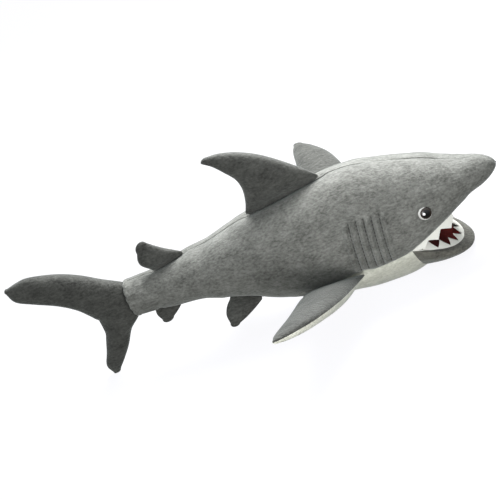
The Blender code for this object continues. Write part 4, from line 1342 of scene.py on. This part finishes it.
def make_fin(name, root, rows, nodes, travel, materials):
    outline = fin_outline(root, rows, FIN_ROWS, ROOT_SINK)
    outline += rounded_tip(outline, from_end=False)
    rings = fin_rings(root, outline, FIN_COLUMNS)
    piece = fin_piece(name, root, rings, materials)
    finish_fin(piece, root, nodes, travel)


def ridge_nodes(name):
    return [f"{name}_panel_right", f"{name}_panel_left", f"{name}_filling"]


make_fin(
    "dorsal_fin_plush", ridge_root(DORSAL_SIZE, math.pi / 2, 1), DORSAL_ROWS,
    ridge_nodes("dorsal_fin"), 0.0020, [FIN_PAINTED_SHADE_PLUSH],
)
make_fin(
    "second_dorsal_fin_plush", ridge_root(SECOND_SIZE, math.pi / 2, 1), SECOND_ROWS,
    ridge_nodes("second_dorsal"), 0.0014, [FIN_PAINTED_SHADE_PLUSH],
)
make_fin(
    "anal_fin_plush", ridge_root(ANAL_SIZE, -math.pi / 2, -1), ANAL_ROWS,
    ridge_nodes("anal_fin"), 0.0010, [FIN_PAINTED_SHADE_PLUSH],
)
for tag, side in (("right", -1), ("left", 1)):
    chest = flank_root(PECTORAL_SIZE, PECTORAL_ANGLES, PECTORAL_LIFT, PECTORAL_GAP, side)
    chest.under = side
    make_fin(
        f"pectoral_fin_plush_{tag}", chest, PECTORAL_ROWS,
        [f"pectoral_{tag}_panel_top", f"pectoral_{tag}_panel_under", f"pectoral_{tag}_filling"],
        0.0024, [FIN_PAINTED_SHADE_PLUSH, CREAM_PLUSH],
    )
    hip = flank_root(PELVIC_SIZE, PELVIC_ANGLES, PELVIC_DROP, FIN_GAP, side)
    make_fin(
        f"pelvic_fin_plush_{tag}", hip, PELVIC_ROWS,
        [f"pelvic_{tag}_panel_outer", f"pelvic_{tag}_panel_inner", f"pelvic_{tag}_filling"],
        0.0012, [FIN_PAINTED_SHADE_PLUSH],
    )


# ---------------------------------------------------------------------------------------------
# Tail fin. A stuffed crescent with a long upper lobe. Its narrow neck is pushed into the
# trunk's cuff and caught by the hem.

CAUDAL_LENGTH = 0.1315
CAUDAL_RISE = 0.0700
CAUDAL_TIP_GAP = 0.0003
CAUDAL_THICKNESS = 0.0120
NECK_DEPTH = 0.0110
NECK_INSET = 0.0045
TAIL_STEPS = 64
TAIL_TRAVEL = 0.0022
CUFF_GAP = 0.0045
CUFF_BACK, CUFF_UNDER, _ = section(CUFF_X)
CUFF_MIDDLE = (CUFF_BACK + CUFF_UNDER) / 2
CAUDAL_DROP = CUFF_MIDDLE - CAUDAL_TIP_GAP
NECK_HALF = (CUFF_BACK - CUFF_UNDER) / 2 - NECK_INSET
# Leading edge back and up, trailing edge back and up, thickness: from the upper tip to the neck
UPPER_LOBE_ROWS = (
    (0.970, 0.940, 1.000, 0.870, 0.25), (0.870, 0.985, 0.960, 0.670, 0.60),
    (0.755, 0.995, 0.830, 0.530, 0.85), (0.512, 0.870, 0.635, 0.340, 1.00),
    (0.330, 0.700, 0.505, 0.155, 1.05), (0.185, 0.510, 0.434, -0.010, 1.05),
    (0.062, 0.335, 0.396, -0.120, 1.05),
)
LOWER_LOBE_ROWS = (
    (0.062, -0.300, 0.380, -0.375, 1.05), (0.142, -0.440, 0.408, -0.480, 0.95),
    (0.237, -0.660, 0.460, -0.668, 0.80), (0.338, -0.845, 0.518, -0.855, 0.60),
    (0.412, -0.965, 0.492, -0.994, 0.25),
)


# Leading edge in and up, as shares of the neck, trailing edge up, thickness
NECK_TRAIL = 0.375
NECK_ROWS = (
    (0.6, 0.85, -0.0120, 1.00), (1.0, 0.40, -0.0145, 0.95),
    (1.0, -0.40, -0.0185, 0.95), (0.6, -0.85, -0.0220, 1.00),
)


def lobe_row(row, rise):
    lead_back, lead_up, trail_back, trail_up, thick = row
    return (lead_back * CAUDAL_LENGTH, lead_up * rise, trail_back * CAUDAL_LENGTH, trail_up * rise, thick)


def caudal_rows():
    """Rows of the whole tail fin in metres. The neck's rows join the two lobes' innermost ones."""
    upper = [lobe_row(row, CAUDAL_RISE) for row in UPPER_LOBE_ROWS]
    lower = [lobe_row(row, CAUDAL_DROP) for row in LOWER_LOBE_ROWS]
    upper[-1] = (CUFF_GAP, *upper[-1][1:])
    lower[0] = (CUFF_GAP, *lower[0][1:])
    neck = []
    for lead_depth, lead_up, trail_up, thick in NECK_ROWS:
        lead = (-NECK_DEPTH * lead_depth, NECK_HALF * lead_up)
        neck.append((*lead, NECK_TRAIL * CAUDAL_LENGTH, trail_up, thick))
    return upper + neck + lower


def make_tail_fin():
    root = FinRoot(
        Vector((CUFF_X, 0.0, CUFF_MIDDLE)), Vector((-1.0, 0.0, 0.0)), Vector((0.0, 0.0, 1.0)),
        1.0, 1.0, CAUDAL_THICKNESS,
    )
    outline = fin_outline(root, caudal_rows(), TAIL_STEPS, 0.0)
    outline = rounded_tip(outline, from_end=True)[::-1] + outline + rounded_tip(outline, from_end=False)
    piece = fin_piece("tail_fin_plush", root, fin_rings(root, outline, FIN_COLUMNS), [FIN_PAINTED_SHADE_PLUSH])

    def sewn(point):
        return abs(point.y) < SEWN_EDGE or point.x > CUFF_X - 0.004

    stuff(piece, sewn, TAIL_TRAVEL)
    smooth_once(piece)
    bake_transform(piece)
    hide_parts(*ridge_nodes("caudal_fin"))


make_tail_fin()


# ---------------------------------------------------------------------------------------------
# Floor, lights and camera. A pale floor, one large soft light over the shark, a weak one beside
# the camera and a small one, low down, that reaches into the mouth.

VIEW_AZIMUTH = math.radians(18.5)
VIEW_ELEVATION = math.radians(28.0)
VIEW_ROLL = math.radians(29.0)
VIEW_CENTRE = Vector((-0.0108, 0.0, 0.0898))
VIEW_WIDTH = 0.566
VIEW_DISTANCE = 8.0
SKY_BELOW = (0.10, 0.10, 0.09)
SKY_ABOVE = (0.75, 0.78, 0.80)


def view_axes():
    back = Vector((
        math.sin(VIEW_AZIMUTH) * math.cos(VIEW_ELEVATION),
        -math.cos(VIEW_AZIMUTH) * math.cos(VIEW_ELEVATION),
        math.sin(VIEW_ELEVATION),
    ))
    level = Vector((math.cos(VIEW_AZIMUTH), math.sin(VIEW_AZIMUTH), 0.0))
    up = back.cross(level)
    right = level * math.cos(VIEW_ROLL) - up * math.sin(VIEW_ROLL)
    top = level * math.sin(VIEW_ROLL) + up * math.cos(VIEW_ROLL)
    return right, top, back


def make_camera():
    right, top, back = view_axes()
    camera = bpy.data.cameras.new("camera")
    camera.sensor_width = 36.0
    camera.lens = camera.sensor_width * VIEW_DISTANCE / VIEW_WIDTH
    camera.clip_end = 30.0
    stand = bpy.data.objects.new("camera", camera)
    turned = Matrix((right, top, back)).transposed().to_4x4()
    stand.matrix_world = Matrix.Translation(VIEW_CENTRE + back * VIEW_DISTANCE) @ turned
    bpy.context.scene.collection.objects.link(stand)
    bpy.context.scene.camera = stand


def make_light(name, place, target, size, power):
    light = bpy.data.lights.new(name, "AREA")
    light.shape = "DISK"
    light.size = size
    light.energy = power
    stand = bpy.data.objects.new(name, light)
    towards = Vector(place) - Vector(target)
    stand.matrix_world = Matrix.Translation(place) @ towards.to_track_quat("Z", "Y").to_matrix().to_4x4()
    bpy.context.scene.collection.objects.link(stand)


def make_floor():
    mesh = bpy.data.meshes.new("floor")
    reach = 6.0
    corners = [(-reach, -reach), (reach, -reach), (reach, reach), (-reach, reach)]
    mesh.from_pydata([(*corner, -0.0006) for corner in corners], [], [(0, 1, 2, 3)])
    floor = bpy.data.objects.new("floor", mesh)
    material = bpy.data.materials.new("pale_floor")
    material.use_nodes = True
    shader = material.node_tree.nodes["Principled BSDF"]
    shader.inputs["Base Color"].default_value = (0.10, 0.10, 0.10, 1.0)
    shader.inputs["Roughness"].default_value = 1.0
    shader.inputs["Specular IOR Level"].default_value = 0.0
    shader.inputs["Emission Color"].default_value = (0.975, 0.975, 1.0, 1.0)
    shader.inputs["Emission Strength"].default_value = 0.94
    mesh.materials.append(material)
    bpy.context.scene.collection.objects.link(floor)
    floor.visible_diffuse = False
    floor.visible_glossy = False


def make_world():
    """Soft light from all round, strongest from above and weak from below."""
    world = bpy.data.worlds.new("studio")
    world.use_nodes = True
    nodes, links = world.node_tree.nodes, world.node_tree.links
    place = nodes.new("ShaderNodeTexCoord")
    split = nodes.new("ShaderNodeSeparateXYZ")
    links.new(place.outputs["Generated"], split.inputs["Vector"])
    fade = nodes.new("ShaderNodeValToRGB")
    fade.color_ramp.elements[0].position = 0.25
    fade.color_ramp.elements[0].color = (*SKY_BELOW, 1.0)
    fade.color_ramp.elements[1].position = 1.0
    fade.color_ramp.elements[1].color = (*SKY_ABOVE, 1.0)
    height = nodes.new("ShaderNodeMapRange")
    height.inputs["From Min"].default_value = -1.0
    links.new(split.outputs["Z"], height.inputs["Value"])
    links.new(height.outputs["Result"], fade.inputs["Fac"])
    links.new(fade.outputs["Color"], nodes["Background"].inputs["Color"])
    nodes["Background"].inputs["Strength"].default_value = 1.0
    bpy.context.scene.world = world


make_camera()
make_floor()
make_light("top_light", (0.19, 0.34, 0.60), (0.10, 0.0, 0.08), 0.6, 12.5)
make_light("side_light", (0.05, -1.70, 0.45), (0.05, 0.0, 0.08), 0.8, 4.2)
make_light("throat_light", (0.20, -0.60, 0.02), (0.15, 0.0, 0.05), 0.25, 2.4)
bpy.data.lights["throat_light"].specular_factor = 0.0
make_world()
bpy.context.scene.view_settings.view_transform = "Standard"
